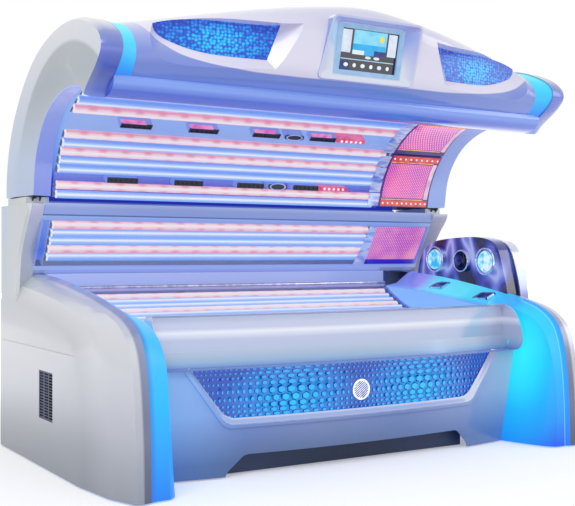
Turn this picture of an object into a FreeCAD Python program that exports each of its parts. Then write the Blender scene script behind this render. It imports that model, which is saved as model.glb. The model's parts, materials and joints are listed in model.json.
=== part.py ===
import FreeCAD, Part
import math
import os

V = FreeCAD.Vector
os.makedirs("parts", exist_ok=True)

# Lay-down sunbed with a lifting canopy. Millimetres. +X runs to the head end, -Y is the
# front where the user climbs in, +Z is up. The origin is on the floor, under the middle.
# Outlines that lie in a side view are lists of (y, z) points.

# ------------------------------------------------------------------ driving dimensions
# fits
SEAT = 0.3  # gap between parts that seat on each other
RUN = 0.05  # radial running clearance of a pin in its hole
FLOOR_GAP = 6.0  # underside of the mouldings above the floor

# side shells: x of each line of the moulding, from the outer face inwards
SHELL_FACE_X = 1195.0
SHELL_CREASE_X = 1170.0
SHELL_RIM_X = 1120.0
SHELL_INNER_X = 1060.0
SHELL_WALL = 6.0
REAR_Y = 723.0
FACE_LINE = [
    (-330, FLOOR_GAP), (-326, 175), (-312, 306), (-292, 420), (-262, 500),
    (-200, 548), (-90, 580), (100, 620), (373, 655), (662, 680),
]
CREASE_LINE = [
    (-577, FLOOR_GAP), (-566, 175), (-542, 306), (-516, 437), (-480, 556),
    (-410, 622), (-294, 657), (3, 708), (373, 745), (662, 775),
]
RIM_LINE = [
    (-REAR_Y, FLOOR_GAP), (-714, 195), (-698, 340), (-676, 468), (-640, 558),
    (-565, 622), (-393, 675), (-100, 727), (300, 772), (662, 812),
]
INNER_LINE = [
    (-710, FLOOR_GAP), (-705, 195), (-694, 340), (-670, 478), (-628, 574),
    (-548, 636), (-400, 684), (-100, 740), (200, 782), (521, 805),
]
POST_INNER_X = 1110.0
POST_EDGE_X = 1178.0
POST_FACE_X = 1191.0
POST_TOP = 1122.0
POST_SLANT = 36.0  # the post's front face runs back by this much towards the inside
POST_BEVEL = 12.0  # and by this much at its outer face
POST_ROOT = 60.0  # how deep the post reaches into the wing
POST_FRONT_LINE = [
    (484, 730), (468, 830), (444, 908), (402, 975), (346, 1050), (312, 1094), (304, POST_TOP),
]
VENT_Y, VENT_Z = (-23.0, 152.0), (208.0, 410.0)
VENT_T = 3.0
VENT_SLOTS, VENT_COLUMNS = 16, 3
VENT_SLOT_LONG, VENT_SLOT_TALL = 0.76, 0.6  # slot sizes as shares of their pitch
VENT_FIRST = 0.7  # height of the first slot, in pitches
PARTING_Z = 503.0
PARTING_FRONT_Y = -353.0
GROOVE = 2.5

# wing lights: planform of the front horn at the floor and at the shoulder
HORN_FOOT = [(1016, -711), (962, -683), (925, -612), (896, -515), (872, -420)]
HORN_HEAD = [(1030, -714), (1006, -694), (994, -620), (988, -515), (984, -420)]
HORN_HEAD_Z = 700.0
HORN_BACK_Y = -418.0
LIGHT_BEVEL_X = 1034.0
LIGHT_LOW_X = 950.0
LIGHT_BEVEL_DROP = 8.0
LIGHT_WALL = 5.0
DECK_FALL = 0.45  # slope of the deck's inner part, as a share of its outer part's
DECK_UNDER = 10.0  # how far the deck's tool surface runs on towards the bench
HORN_HEADROOM = 60.0
LIGHT_REACH = 100.0
LIGHT_LOW_LINE = [
    (-698, FLOOR_GAP), (-696, 195), (-686, 330), (-664, 440), (-616, 532),
    (-540, 590), (-400, 636), (-100, 682), (200, 716), (521, 742),
]
STRIP_W = 13.0  # narrow lit strip beside the foot end of the bench

# front: the fascia, its panel and the rail share one bow in plan
BOW_RADIUS = 5200.0
FASCIA_Y = -512.0
FASCIA_LEAN = 33.0
FASCIA_T = 6.0
FASCIA_TOP = 441.0
WINDOW_TOP_X, WINDOW_LOW_X, WINDOW_LOW_Z = 806.0, 640.0, 218.0
WINDOW_CORNER = 70.0
WINDOW_RIM = 15.0
WINDOW_RIM_PROUD = 7.0
PANEL_RECESS = 27.0
PANEL_T = 4.0
PANEL_PITCH = 44.0
PANEL_HOLE_MAX, PANEL_HOLE_MIN = 18.0, 5.0
LOBE_X, LOBE_Z, LOBE_REACH_X, LOBE_REACH_Z = 330.0, 330.0, 430.0, 150.0
LIGHT_BOX_GAP = 30.0
LIGHT_BOX_T = 8.0
BADGE_R, BADGE_T, BADGE_Z = 45.0, 9.0, 319.0
ARCH_FOOT_X, ARCH_FOOT_Z = 708.0, -48.0  # the arch's sides run on below the floor line
ARCH_TOP_X, ARCH_TOP_Z = 556.0, 92.0
TOE_HALF, TOE_Y, TOE_T = 640.0, -418.0, 14.0
TOE_LAP = 20.0  # how far the toe board reaches up behind the arch
TOE_STAYS = [-500.0, 0.0, 500.0]
TOE_STAY = (60.0, 66.0, 84.0)  # width, then lower and upper edge above the floor
RAIL_PAST_BENCH = 70.0  # the rail runs on past the head end of the bench
RAIL_WALL = 5.0
RAIL_END_R = 62.0
RAIL_LINE = [
    (-478, 657), (-524, 643), (-566, 600), (-592, 545), (-601, 490), (-588, 452), (-560, FASCIA_TOP),
]
RAIL_BACK_Y = -462.0
RAIL_FOOT, RAIL_EDGE, RAIL_TOOL = (40.0, 60.0), 6.0, 20.0
RAIL_END_Y = -372.0  # rearmost reach of the rail, at its ends

# bench: an acrylic pane curved about a long axis, lamps under it
BENCH_X = (-1045.0, 878.0)
RAIL_HALF = BENCH_X[1] + RAIL_PAST_BENCH
BENCH_FRONT, BENCH_LOW, BENCH_REAR = (-446, 642), (-10, 566), (480, 738)
PANE_T = 8.0
LAMP_R, LAMP_WALL = 19.0, 1.5
LAMP_PIN_R = 3.0
LAMP_CAP = 9.0
LAMP_GAP = 4.0
BENCH_LAMPS = 20
TRAY_T = 2.0
TRAY_START, TRAY_END = 5.9, 0.6  # degrees left clear at the front rail and at the hinge
HOLDER = 14.0
HINGE_ROD_R = 8.0
HINGE_ROD_RISE = 0.5  # height of the hinge rod over the pane's edge, in rod radii
REAR_BAR_Y, REAR_BAR_TOP = (498.0, 546.0), 808.0
CRADLE_FLOOR, CRADLE_LIP, CRADLE_OPEN = 12.0, 2.0, 0.4
BENCH_ROOM, BENCH_ROOM_EASE = (30.0, 20.0), 0.001
RAIL_CLEAR = 6.0  # from the back of the rail to the front edge of the pane
LAMP_SPAN_EASE = 3.4  # degrees of the tray left free by the first and the last lamp together
SOCKET_SHARE = 0.8  # radius of a lamp socket, as a share of the lamp's

# frame
TUBE, TUBE_WALL = 60.0, 4.0
FRAME_Z = 40.0
FRAME_FRONT_Y, FRAME_REAR_Y = -380.0, 600.0
FRAME_INSET = 20.0  # the frame ends this far inside the inner faces of the shells
FRAME_HALF = SHELL_INNER_X - FRAME_INSET
MAST_X = (1122.0, POST_FACE_X - SHELL_WALL - SEAT)
MAST_TOP = 1040.0
CRADLE_INSET = 10.0  # the uprights under the tray are this much narrower each side
FOOT_R, FOOT_PAD_T, STEM_R = 34.0, 14.0, 8.0

# side tanner, the fixed lamp field behind the bench
TANNER_HALF = POST_INNER_X - SEAT
TANNER_T = 4.0
TANNER_SCREEN = [(378, 1048), (412, 985), (452, 915), (500, 845)]
TANNER_LAMPS, TANNER_MARGIN = 5, 0.14
TRANSOM_Z = (1078.0, 1128.0)
TRANSOM_Y = 356.0
SHOULDER_X, SHOULDER_SET = (740.0, 1084.0), 2.0
TANNER_END, TANNER_PAST, CHEEK_T = 12.0, 8.0, 6.0
TRANSOM_EDGE, SILL_EDGE, SILL_LAP = (8.0, 6.0), (6.0, 18.0), 40.0

# canopy, drawn in its open position
TUNNEL_Y, TUNNEL_Z = -152.0, 1076.0  # centre of the curved lamp field
SCREEN_R = 515.0
SCREEN_T = 4.0
SCREEN_FROM, SCREEN_TO = 8.6, 111.5
FIELD_X = (-1066.0, 728.0)
PLATE_X = (1088.0, 1094.0)
PLATE_EASE = 1.8
RED_ANGLES = [14.4, 31.3, 40.7, 56.2, 80.5, 96.0]
BLUE_ANGLES = [9.95, 22.4, 26.85, 35.8, 62.6, 69.8, 75.1, 85.8, 91.0, 101.2, 106.4]
VENT_ANGLES = (18.4, 50.2)
VENT_XS = [-740.0, -402.0, -62.0, 264.0]
VENT_BAR = 150.0
SPEAKER_X = 95.0
LED_X = 434.0
CAP_INNER_X, CAP_BEND_X, CAP_FACE_X = 1106.0, 1166.0, 1190.0
RIM_INNER_X = 1078.0
CAP_WALL = 5.0
CAP_CHAMFER = 10.0
ARM_BOTTOM = 1157.0
ARM_LINE = [
    (316, ARM_BOTTOM), (309, 1200), (301, 1250), (289, 1300), (268, 1350), (236, 1400),
    (192, 1450), (120, 1502), (0, 1549), (-140, 1566), (-270, 1548), (-368, 1503),
]
ARM_INNER_LINE = [
    (352, ARM_BOTTOM), (346, 1200), (336, 1252), (322, 1306), (298, 1358), (266, 1408),
    (224, 1456), (158, 1508), (50, 1560), (-110, 1590), (-270, 1578), (-368, 1530),
]
SCOOP_LINE = [
    (506, ARM_BOTTOM), (507, 1225), (492, 1296), (464, 1358), (428, 1418), (378, 1478),
    (304, 1545), (190, 1606), (60, 1648), (-70, 1662), (-190, 1646), (-262, 1600),
]
CAP_LINE = [
    (-372, 1499), (-452, 1560), (-528, 1616), (-556, 1660), (-545, 1702), (-500, 1742),
    (-420, 1780), (-294, 1817), (-158, 1828), (21, 1811), (229, 1751), (428, 1622),
    (559, 1480), (632, 1332), (654, ARM_BOTTOM),
]
RIM_T = 5.0
SHELL_SEAM = 1.5
COVER_T = 4.0
LAP_X = 1112.0  # the shell and the light strips end inside the caps
STRIP_OUT_LINE = [
    (98, 1786), (-60, 1819), (-204, 1823), (-346, 1803), (-463, 1761), (-530, 1715),
    (-546, 1672), (-527, 1630), (-480, 1592), (-460, 1577),
]
STRIP_IN_LINE = [
    (98, 1791), (-60, 1814), (-204, 1818), (-340, 1800), (-436, 1760), (-496, 1707),
    (-511, 1660), (-500, 1625), (-478, 1594), (-462, 1577),
]
NOSE_LINE = [  # outline of the front cover in the middle of the canopy
    (98, 1791), (-60, 1856), (-204, 1914), (-380, 1956), (-530, 1948), (-622, 1894),
    (-606, 1765), (-574, 1668), (-532, 1608), (-462, 1577),
]
NOSE_HALF = 1035.0
NOSE_STATIONS = 6
NOSE_REAR_DROP, NOSE_FOOT = 90.0, 22.0  # how far the tool reaches down at the rear and in
NOSE_SWELL = 1.5  # power by which the cover swells from its ends to its middle
LENS_TURN = 8.25  # the lens faces are turned outwards in plan, in degrees
LENS_PIVOT = (712.0, -480.0)
LENS_OUTLINE = [  # along the lens from its middle, outwards positive, and height
    (-300, 1830), (-240, 1688), (-90, 1690), (60, 1703), (160, 1728), (222, 1762), (232, 1792),
    (150, 1812), (0, 1824),
]
LENS_FLARE = 1.5
LENS_OUT, LENS_IN = 0.5, 0.75  # share of the flare at the outer and at the inner end
LENS_BROW_Z = 1760.0
LENS_T, LENS_EASE = 5.0, 2.0
LENS_DEPTH = 170.0
POD_MOUTH = [(250.0, -552.0, 1627.0), (232.0, -655.0, 1876.0)]  # half width, y, z: low, high
POD_BACK = [(258.0, -470.0, 1616.0), (236.0, -470.0, 1886.0)]
POD_EDGE = 9.0  # width of the hood's front edge
POD_WALL = 4.0
POD_CORNER = 26.0
DISPLAY_Y, DISPLAY_Z, DISPLAY_TILT = -577.0, 1756.0, 12.8
DISPLAY_FRAME = (176.0, 108.0)  # half width and half height of the inner frame
DISPLAY_VIEW = (150.0, 87.0)
DISPLAY_FRAME_T = 9.0
DISPLAY_LAP = 7.0
DISPLAY_T = 9.0
SEAM_Z = 1577.0  # seam between the front cover and the lip under it
SEAM_H, SEAM_DEPTH = 5.0, 3.0
LIP_LINE = [(-463, SEAM_Z - SEAM_H), (-464, 1548), (-444, 1520), (-404, 1503), (-374, 1500)]
LIP_BACK = [(-374, 1500), (-354, 1509), (-372, 1544), (-424, SEAM_Z - SEAM_H)]
LIP_WALL = 4.0
REFLECTOR_GAP = 3.0
REFLECTOR_T = 2.0
VENT_W, VENT_BEAD = 26.0, 2.0  # width of a vent bar and how far it stands out of the acrylic
VENT_HOLES, VENT_OPEN = 6, (0.68, 0.6)  # holes per vent and their share of its length and width
SPEAKER = 110.0
LED_BAR, LED_W = 170.0, 20.0
FACIAL_GAP, FACIAL_BEAD = 8.0, 2.0
FACIAL_X = (FIELD_X[1] + FACIAL_GAP, RIM_INNER_X - SEAT)
FACIAL_ANGLES = [(9.0, 42.5), (43.5, 76.0)]
SPINE_R, SPINE_ANGLES, SPINE_TUBE = 592.0, (35.0, 85.0), 16.0

# hinge and lift
HINGE_Y, HINGE_Z = 366.0, 1165.0
CANOPY_SWING = 47.0
PIN_R = 8.0
EAR_R = 16.0
EAR_X = ((1117.0, 1122.0), (1149.0, 1155.0))
EAR_ROOT_Z, EAR_PLATE_T = (930.0, 1038.0), 8.0
LEVER_X = (1140.0, 1147.0)
LEVER_LINE = [(352, 1179), (486, 1306), (560, 1306), (560, 1236), (376, 1147)]
LEVER_STAYS = [((424.0, 464.0), (1196.0, 1232.0)), ((505.0, 550.0), (1252.0, 1298.0))]
CRANK = 174.0
CRANK_HALF = 15.0
KNUCKLE_R = 20.0
CYLINDER_R, ROD_R = 16.0, 7.0
LIFT_X = 1131.0
CYLINDER_Z = (420.0, 780.0)
CYLINDER_STAYS, CYLINDER_STAY_PAST = [(440.0, 480.0), (700.0, 740.0)], 4.0
CYLINDER_FLOOR, ROD_FOOT_GAP, ROD_LAP = 8.0, 4.0, 2.0
LINK_T, LINK_PIN_PAST = 9.0, 1.5
LINK_X = (LIFT_X - LINK_T / 2, LIFT_X + LINK_T / 2)
LINK_EDGE = 9.0
LINK_PIN_R = 6.0
LINK_SLACK = 1.0  # play of the crank pin in its slot

# head-end console on the right wing
CONSOLE_X = (1046.0, 1119.0)
HOOD_X = (CONSOLE_X[1] + SEAT, 1172.0)
CONSOLE_LINE = [
    (-318, 600), (-306, 712), (-268, 850), (-215, 952), (-150, 978), (42, 987), (190, 978),
    (300, 952), (360, 905), (396, 810), (402, 600),
]
HOOD_LINE = [
    (-334, 600), (-322, 712), (-286, 850), (-232, 945), (-150, 972), (42, 978), (190, 968),
    (300, 940), (352, 895), (384, 810), (390, 600),
]
BALL_R, BALL_X = 62.0, 1050.0
COLLAR_R, COLLAR_TIP_R, COLLAR_TIP_X = 76.0, 66.0, 1020.0
CONSOLE_WALL, POCKET_GAP = 5.0, 0.4
NOZZLE_FACE_X, NOZZLE_BORE, NOZZLE_WELL = 1014.0, 46.0, 18.6
VANE_T, VANE_BACK = 3.0, 4.0
PIVOT_R, PIVOT_REACH = 4.0, 3.0  # the nozzle's upright pin and how far it enters the cup
FAN_HUB_R, FAN_BLADES, FAN_PITCH, FAN_PROUD = 13.0, 9, 24.0, 14.0
FAN_AXLE_R, FAN_AXLE_BACK, FAN_HUB_BACK = 4.0, 6.0, 2.0
FAN_BLADE_T, FAN_TIP_GAP = 4.0, 4.0
NOZZLE_YZ = ((223.0, 872.0), (-174.0, 862.0))
FAN_YZ, FAN_R, FAN_DEPTH = (26.0, 864.0), 52.0, 26.0
DECK_Y = (HORN_BACK_Y + 1.0, 474.0)
DECK_SKIRT_Z = 585.0
DECK_GAP = 2.0  # between the deck and the pane that swings beside it
BUTTONS = {"start": (982.0, 135.0), "stop": (982.0, -208.0)}
BUTTON_SIZE = (54.0, 84.0, 14.0)
BUTTON_RIM, BUTTON_GAP = 3.0, 0.5
BUTTON_ROOM, BUTTON_FLOOR = 6.0, 6.0  # travel room under the cap, and the floor of its well

# plant in the base
BLOWER_R, BLOWER_T, BLOWER_X, BLOWER_Y = 120.0, 70.0, 520.0, 330.0
BLOWER_LIFT, BLOWER_WALL, BLOWER_TIP_GAP = 30.0, 4.0, 8.0
BLOWER_EYE = 0.6  # radius of the inlet as a share of the rotor's
BLOWER_AXLE_R, BLOWER_AXLE_DROP = 6.0, 16.0
BLOWER_LEG_W, BLOWER_LEG_T = 40.0, 14.0
ROTOR_HUB_R, ROTOR_BLADES, ROTOR_BLADE_T = 30.0, 12, 3.0
ROTOR_LOW, ROTOR_TOP, ROTOR_DISC_T = 5.0, 6.0, 3.0
BALLAST = (240.0, 44.0, 90.0)
BALLASTS, BALLAST_GAP, BALLAST_LIFT, BALLAST_BACK = 6, 30.0, 6.0, 12.0
BALLAST_FOOT = 40.0  # how far a ballast unit's foot reaches over the front beam
INLET, INLET_Z = (90.0, 40.0, 120.0), 150.0
REAR_LOW_Z, BACK_T, BACK_DROP = 36.0, 3.0, 4.0


# ------------------------------------------------------------------ helpers
def save(name, shape):
    shape = shape.removeSplitter() if shape.ShapeType != "Compound" else shape
    shape.exportStep("parts/" + name + ".step")
    print(name, len(shape.Solids), "solids", round(shape.Volume / 1e6, 3), "litres")


def group(shapes):
    return Part.makeCompound(shapes)


def mirrored(shape):
    return shape.mirror(V(0, 0, 0), V(1, 0, 0))


def box(x, y, z):
    return Part.makeBox(x[1] - x[0], y[1] - y[0], z[1] - z[0], V(x[0], y[0], z[0]))


def rod_x(radius, x, y, z):
    return Part.makeCylinder(radius, x[1] - x[0], V(x[0], y, z), V(1, 0, 0))


def rod_z(radius, x, y, z):
    return Part.makeCylinder(radius, z[1] - z[0], V(x, y, z[0]))


def run(points):
    """A straight edge through two points, a smooth one through more."""
    if len(points) == 2:
        return Part.makeLine(points[0], points[1])
    spline = Part.BSplineCurve()
    spline.interpolate(points)
    return spline.toShape()


def side_wire(x, *runs):
    """Closed outline in a side view at x; the gaps between runs are closed by lines."""
    runs = [[V(x, y, z) for y, z in points] for points in runs]
    edges = []
    for points, following in zip(runs, runs[1:] + runs[:1]):
        edges.append(run(points))
        if (points[-1] - following[0]).Length > 1e-6:
            edges.append(Part.makeLine(points[-1], following[0]))
    return Part.Wire(edges)


def side_slab(x, *runs):
    return Part.Face(side_wire(x[0], *runs)).extrude(V(x[1] - x[0], 0, 0))


def loft(wires, ruled=True):
    return Part.makeLoft(wires, True, ruled)


def inset(points, distance):
    """Moves a (y, z) line to its right-hand side by a distance."""
    moved = []
    for i, (y, z) in enumerate(points):
        before = points[max(i - 1, 0)]
        after = points[min(i + 1, len(points) - 1)]
        dy, dz = after[0] - before[0], after[1] - before[1]
        size = math.hypot(dy, dz)
        moved.append((y + distance * dz / size, z - distance * dy / size))
    return moved


def folded(x, points, thickness):
    """Sheet folded along a side-view line; the sheet lies on the line's left-hand side."""
    other = inset(points, thickness)
    outline = list(points) + list(reversed(other))
    corners = [V(x[0], y, z) for y, z in outline + outline[:1]]
    return Part.Face(Part.makePolygon(corners)).extrude(V(x[1] - x[0], 0, 0))


def arc_band(x, radii, angles, centre=(TUNNEL_Y, TUNNEL_Z)):
    """Part of a tube about a long axis; angles run from the rear over the top to the front."""
    ends = []
    for radius in radii:
        spots = []
        for angle in (angles[0], sum(angles) / 2, angles[1]):
            a = math.radians(angle)
            spots.append(V(x[0], centre[0] + radius * math.cos(a), centre[1] + radius * math.sin(a)))
        ends.append(spots)
    inner, outer = ends
    edges = [
        Part.Arc(*inner).toShape(),
        Part.makeLine(inner[2], outer[2]),
        Part.Arc(*outer).toShape(),
        Part.makeLine(outer[0], inner[0]),
    ]
    return Part.Face(Part.Wire(Part.__sortEdges__(edges))).extrude(V(x[1] - x[0], 0, 0))


def on_arc(radius, angle, centre=(TUNNEL_Y, TUNNEL_Z)):
    a = math.radians(angle)
    return centre[0] + radius * math.cos(a), centre[1] + radius * math.sin(a)


def lamp(x, y, z):
    """A hollow fluorescent tube with its end caps and contact pins."""
    body = rod_x(LAMP_R, (x[0] + LAMP_CAP, x[1] - LAMP_CAP), y, z)
    bore_x = (x[0] + 2 * LAMP_CAP, x[1] - 2 * LAMP_CAP)
    body = body.cut(rod_x(LAMP_R - LAMP_WALL, bore_x, y, z))
    for end in ((x[0], x[0] + LAMP_CAP), (x[1] - LAMP_CAP, x[1])):
        body = body.fuse(rod_x(LAMP_PIN_R, end, y, z))
    return body


def front_slab(y, *runs):
    """Solid between two y planes over an outline of (x, z) points."""
    edges = []
    lines = [[V(px, y[0], pz) for px, pz in points] for points in runs]
    for points, following in zip(lines, lines[1:] + lines[:1]):
        edges.append(run(points))
        if (points[-1] - following[0]).Length > 1e-6:
            edges.append(Part.makeLine(points[-1], following[0]))
    return Part.Face(Part.Wire(edges)).extrude(V(0, y[1] - y[0], 0))


def rounded_front_slab(y, corners, radius):
    """Like front_slab, for a polygon whose corners are rounded to one radius."""
    edges = []
    count = len(corners)
    tangents = []
    for i, corner in enumerate(corners):
        here = V(corner[0], y[0], corner[1])
        before = V(corners[i - 1][0], y[0], corners[i - 1][1])
        after = V(corners[(i + 1) % count][0], y[0], corners[(i + 1) % count][1])
        to_before = (before - here).normalize()
        to_after = (after - here).normalize()
        half = math.acos(to_before.dot(to_after)) / 2
        reach = radius / math.tan(half)
        middle = (to_before + to_after).normalize()
        centre = here + middle * (radius / math.sin(half))
        tangents.append((here + to_before * reach, centre - middle * radius, here + to_after * reach))
    for i, (start, middle, end) in enumerate(tangents):
        edges.append(Part.Arc(start, middle, end).toShape())
        edges.append(Part.makeLine(end, tangents[(i + 1) % count][0]))
    return Part.Face(Part.Wire(edges)).extrude(V(0, y[1] - y[0], 0))


def bowed(points_runs, sweep=16.0):
    """Turns a side-view outline about the far vertical axis of the bow."""
    centre_y = FASCIA_Y + BOW_RADIUS
    face = Part.Face(side_wire(0, *points_runs))
    face.rotate(V(0, centre_y, 0), V(0, 0, 1), -sweep)
    return face.revolve(V(0, centre_y, 0), V(0, 0, 1), 2 * sweep)


# ------------------------------------------------------------------ side shells
def wing_solid(wall):
    """The right wing as a closed solid; a wall above zero gives the space inside it."""
    reach = SHELL_INNER_X - (2 * wall if wall else 0)
    stations = [
        (SHELL_FACE_X - wall, FACE_LINE), (SHELL_CREASE_X - wall, CREASE_LINE),
        (SHELL_RIM_X - wall, RIM_LINE), (reach, INNER_LINE),
    ]
    wires = []
    for x, line in stations:
        top = inset(line, wall)
        low = (top[0][0], FLOOR_GAP - 2 * wall)
        rear = REAR_Y - wall
        wires.append(side_wire(x, [low] + top[1:], [(rear, top[-1][1]), (rear, low[1])]))
    return loft(wires)


def post_solid(wall):
    """The rear post that carries the hinge, as a closed solid."""
    rear = REAR_Y - wall
    top = POST_TOP + 2 * wall
    wires = []
    for x, back in (
        (POST_INNER_X + wall, POST_SLANT), (POST_EDGE_X - wall, 0.0), (POST_FACE_X - wall, POST_BEVEL),
    ):
        front = [(y + back + wall, z) for y, z in POST_FRONT_LINE[:-1]]
        front.append((POST_FRONT_LINE[-1][0] + back + wall, top))
        low = POST_FRONT_LINE[0][1] - 2 * wall - POST_ROOT
        wires.append(side_wire(x, [(front[0][0], low), front[0]], front, [(rear, top), (rear, low)]))
    return loft(wires)


wing_outer = wing_solid(0.0)
post_outer = post_solid(0.0)
shell = wing_outer.fuse(post_outer)
shell = shell.cut(wing_solid(SHELL_WALL))
shell = shell.cut(post_solid(SHELL_WALL))

# a scored parting line on the outer face and the recess of the vent grille
groove = box(
    (SHELL_FACE_X - GROOVE, SHELL_FACE_X + GROOVE), (PARTING_FRONT_Y, REAR_Y + GROOVE),
    (PARTING_Z - GROOVE, PARTING_Z),
)
shell = shell.cut(groove)
vent_seat = box((SHELL_FACE_X - SHELL_WALL - VENT_T, SHELL_FACE_X + VENT_T), VENT_Y, VENT_Z)
shell = shell.cut(vent_seat)
save("right_side_shell", shell)
save("left_side_shell", mirrored(shell))

# vent grilles: a slotted plate in the recess of each shell
grille_x = (SHELL_FACE_X - SHELL_WALL, SHELL_FACE_X - SHELL_WALL + VENT_T)
grille = box(grille_x, VENT_Y, VENT_Z)
slot_pitch = (VENT_Z[1] - VENT_Z[0]) / (VENT_SLOTS + 1)
column = (VENT_Y[1] - VENT_Y[0]) / VENT_COLUMNS
slot_long, slot_tall = column * VENT_SLOT_LONG, slot_pitch * VENT_SLOT_TALL
for row in range(VENT_SLOTS):
    z = VENT_Z[0] + slot_pitch * (row + VENT_FIRST)
    for start in range(VENT_COLUMNS):
        y = VENT_Y[0] + column * start + (column - slot_long) / 2
        slot = box((grille_x[0] - 1, grille_x[1] + 1), (y, y + slot_long), (z, z + slot_tall))
        grille = grille.cut(slot)
save("vent_grilles", group([grille, mirrored(grille)]))


# ------------------------------------------------------------------ wing lights and deck
def deck_solid(wall, low_x):
    """Space under the lit surface that slopes from the shell's rim down to the bench."""
    outer_x = SHELL_INNER_X - SEAT + (wall if wall else 0)
    slope = (INNER_LINE[5][1] - LIGHT_LOW_LINE[5][1]) / (SHELL_INNER_X - LIGHT_LOW_X)
    drop = (LIGHT_LOW_X - low_x) * slope * DECK_FALL
    lines = (
        (outer_x, inset(INNER_LINE, SEAT + wall)),
        (LIGHT_BEVEL_X, inset(INNER_LINE, LIGHT_BEVEL_DROP + wall)),
        (LIGHT_LOW_X, inset(LIGHT_LOW_LINE, wall)),
        (low_x, [(y, z - drop) for y, z in inset(LIGHT_LOW_LINE, wall)]),
    )
    wires = []
    for x, line in lines:
        low = (line[0][0], FLOOR_GAP - 2 * wall)
        rear = (line[-1][0], low[1])
        wires.append(side_wire(x, [low] + line[1:], [line[-1], rear]))
    return loft(wires)


def horn_solid(wall):
    """The front horn of a wing light, upright and curved in plan."""
    outer_x = SHELL_INNER_X - SEAT + wall
    wires = []
    for z, plan in ((FLOOR_GAP - 2 * wall, HORN_FOOT), (HORN_HEAD_Z + HORN_HEADROOM, HORN_HEAD)):
        moved = inset(plan, wall)
        back = HORN_BACK_Y - (wall if wall else 0)
        front = V(outer_x, moved[0][1], z)
        face = [V(x, y, z) for x, y in moved]
        face[-1] = V(moved[-1][0], back, z)
        edges = [
            run(face), Part.makeLine(face[-1], V(outer_x, back, z)),
            Part.makeLine(V(outer_x, back, z), front), Part.makeLine(front, face[0]),
        ]
        wires.append(Part.Wire(edges))
    return loft(wires)


horn = horn_solid(0.0).common(deck_solid(0.0, LIGHT_LOW_X - LIGHT_REACH))
horn_space = horn_solid(LIGHT_WALL).common(deck_solid(LIGHT_WALL, LIGHT_LOW_X - LIGHT_REACH))
right_light = horn.cut(horn_space)
save("right_wing_light", right_light)

strip_x = (SHELL_INNER_X - SEAT - STRIP_W, SHELL_INNER_X - SEAT)
strip_box = box(strip_x, (HORN_BACK_Y, DECK_Y[1]), (DECK_SKIRT_Z, REAR_BAR_TOP))
strip = strip_box.common(deck_solid(0.0, LIGHT_LOW_X - LIGHT_REACH))
left_light = mirrored(right_light.fuse(strip))
save("left_wing_light", left_light)

deck_x = (BENCH_X[1] + DECK_GAP, SHELL_INNER_X - SEAT)
deck_box = box(deck_x, DECK_Y, (DECK_SKIRT_Z, REAR_BAR_TOP))
deck = deck_box.common(deck_solid(0.0, deck_x[0] - DECK_UNDER))
deck_inner = box(
    (deck_x[0] + LIGHT_WALL, deck_x[1] - LIGHT_WALL), (DECK_Y[0] + LIGHT_WALL, DECK_Y[1] - LIGHT_WALL),
    (DECK_SKIRT_Z - 1, REAR_BAR_TOP),
)
deck = deck.cut(deck_inner.common(deck_solid(LIGHT_WALL, deck_x[0] - DECK_UNDER)))
rail_end_room = box(
    (0.0, RAIL_HALF + SEAT), (DECK_Y[0] - 1, RAIL_END_Y), (DECK_SKIRT_Z - 1, REAR_BAR_TOP),
)
deck = deck.cut(rail_end_room)

# push buttons sit in open wells of the deck and travel square to its slope
deck_slope = math.degrees(math.atan2(
    INNER_LINE[6][1] - LIGHT_LOW_LINE[6][1], SHELL_INNER_X - LIGHT_LOW_X,
))
deck_top = deck_solid(0.0, deck_x[0] - DECK_UNDER)
for name, (x, y) in BUTTONS.items():
    probe = Part.makeLine(V(x, y, DECK_SKIRT_Z), V(x, y, HINGE_Z))
    top_z = deck_top.common(probe).BoundBox.ZMax
    wide, deep, thick = BUTTON_SIZE

    def placed(shape, px=x, py=y, pz=top_z):
        shape.rotate(V(0, 0, 0), V(0, 1, 0), -deck_slope)
        shape.translate(V(px, py, pz))
        return shape

    half_w, half_d = wide / 2, deep / 2
    out_w, out_d = half_w + BUTTON_RIM, half_d + BUTTON_RIM
    cap_w, cap_d = half_w - BUTTON_GAP, half_d - BUTTON_GAP
    floor = -thick - BUTTON_ROOM
    well = placed(box((-half_w, half_w), (-half_d, half_d), (-wide, wide)))
    tray_out = placed(box((-out_w, out_w), (-out_d, out_d), (floor - BUTTON_FLOOR, BUTTON_RIM)))
    tray_in = placed(box((-half_w, half_w), (-half_d, half_d), (floor, wide)))
    deck = deck.cut(well).fuse(tray_out.cut(tray_in))
    cap = placed(box((-cap_w, cap_w), (-cap_d, cap_d), (-thick, 0.0)))
    print(name, "button top", round(top_z, 1), "slope", round(deck_slope, 2))
    save(name + "_button", cap)
save("head_deck", deck)


# ------------------------------------------------------------------ fascia, panel and rail
def bowed_sheet(recess, thickness, low, high):
    """Leaning sheet with the fascia's bow, its front face set back by recess."""
    lean = FASCIA_LEAN / FASCIA_TOP
    front_low = FASCIA_Y + recess - lean * low
    front_high = FASCIA_Y + recess - lean * high
    return bowed([[(front_low, low), (front_high, high)],
                  [(front_high + thickness, high), (front_low + thickness, low)]])


def window(y, grow, top):
    slope = (WINDOW_TOP_X - WINDOW_LOW_X) / (FASCIA_TOP - WINDOW_LOW_Z)
    side = grow * math.hypot(1, slope)
    wide_x = WINDOW_TOP_X + slope * (top - FASCIA_TOP) + side
    low_x = WINDOW_LOW_X - slope * grow + side
    low_z = WINDOW_LOW_Z - grow
    corners = [(-wide_x, top), (-low_x, low_z), (low_x, low_z), (wide_x, top)]
    return corners, y


def window_slab(y, grow, top):
    corners, y = window(y, grow, top)
    return rounded_front_slab(y, corners, WINDOW_CORNER)


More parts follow.
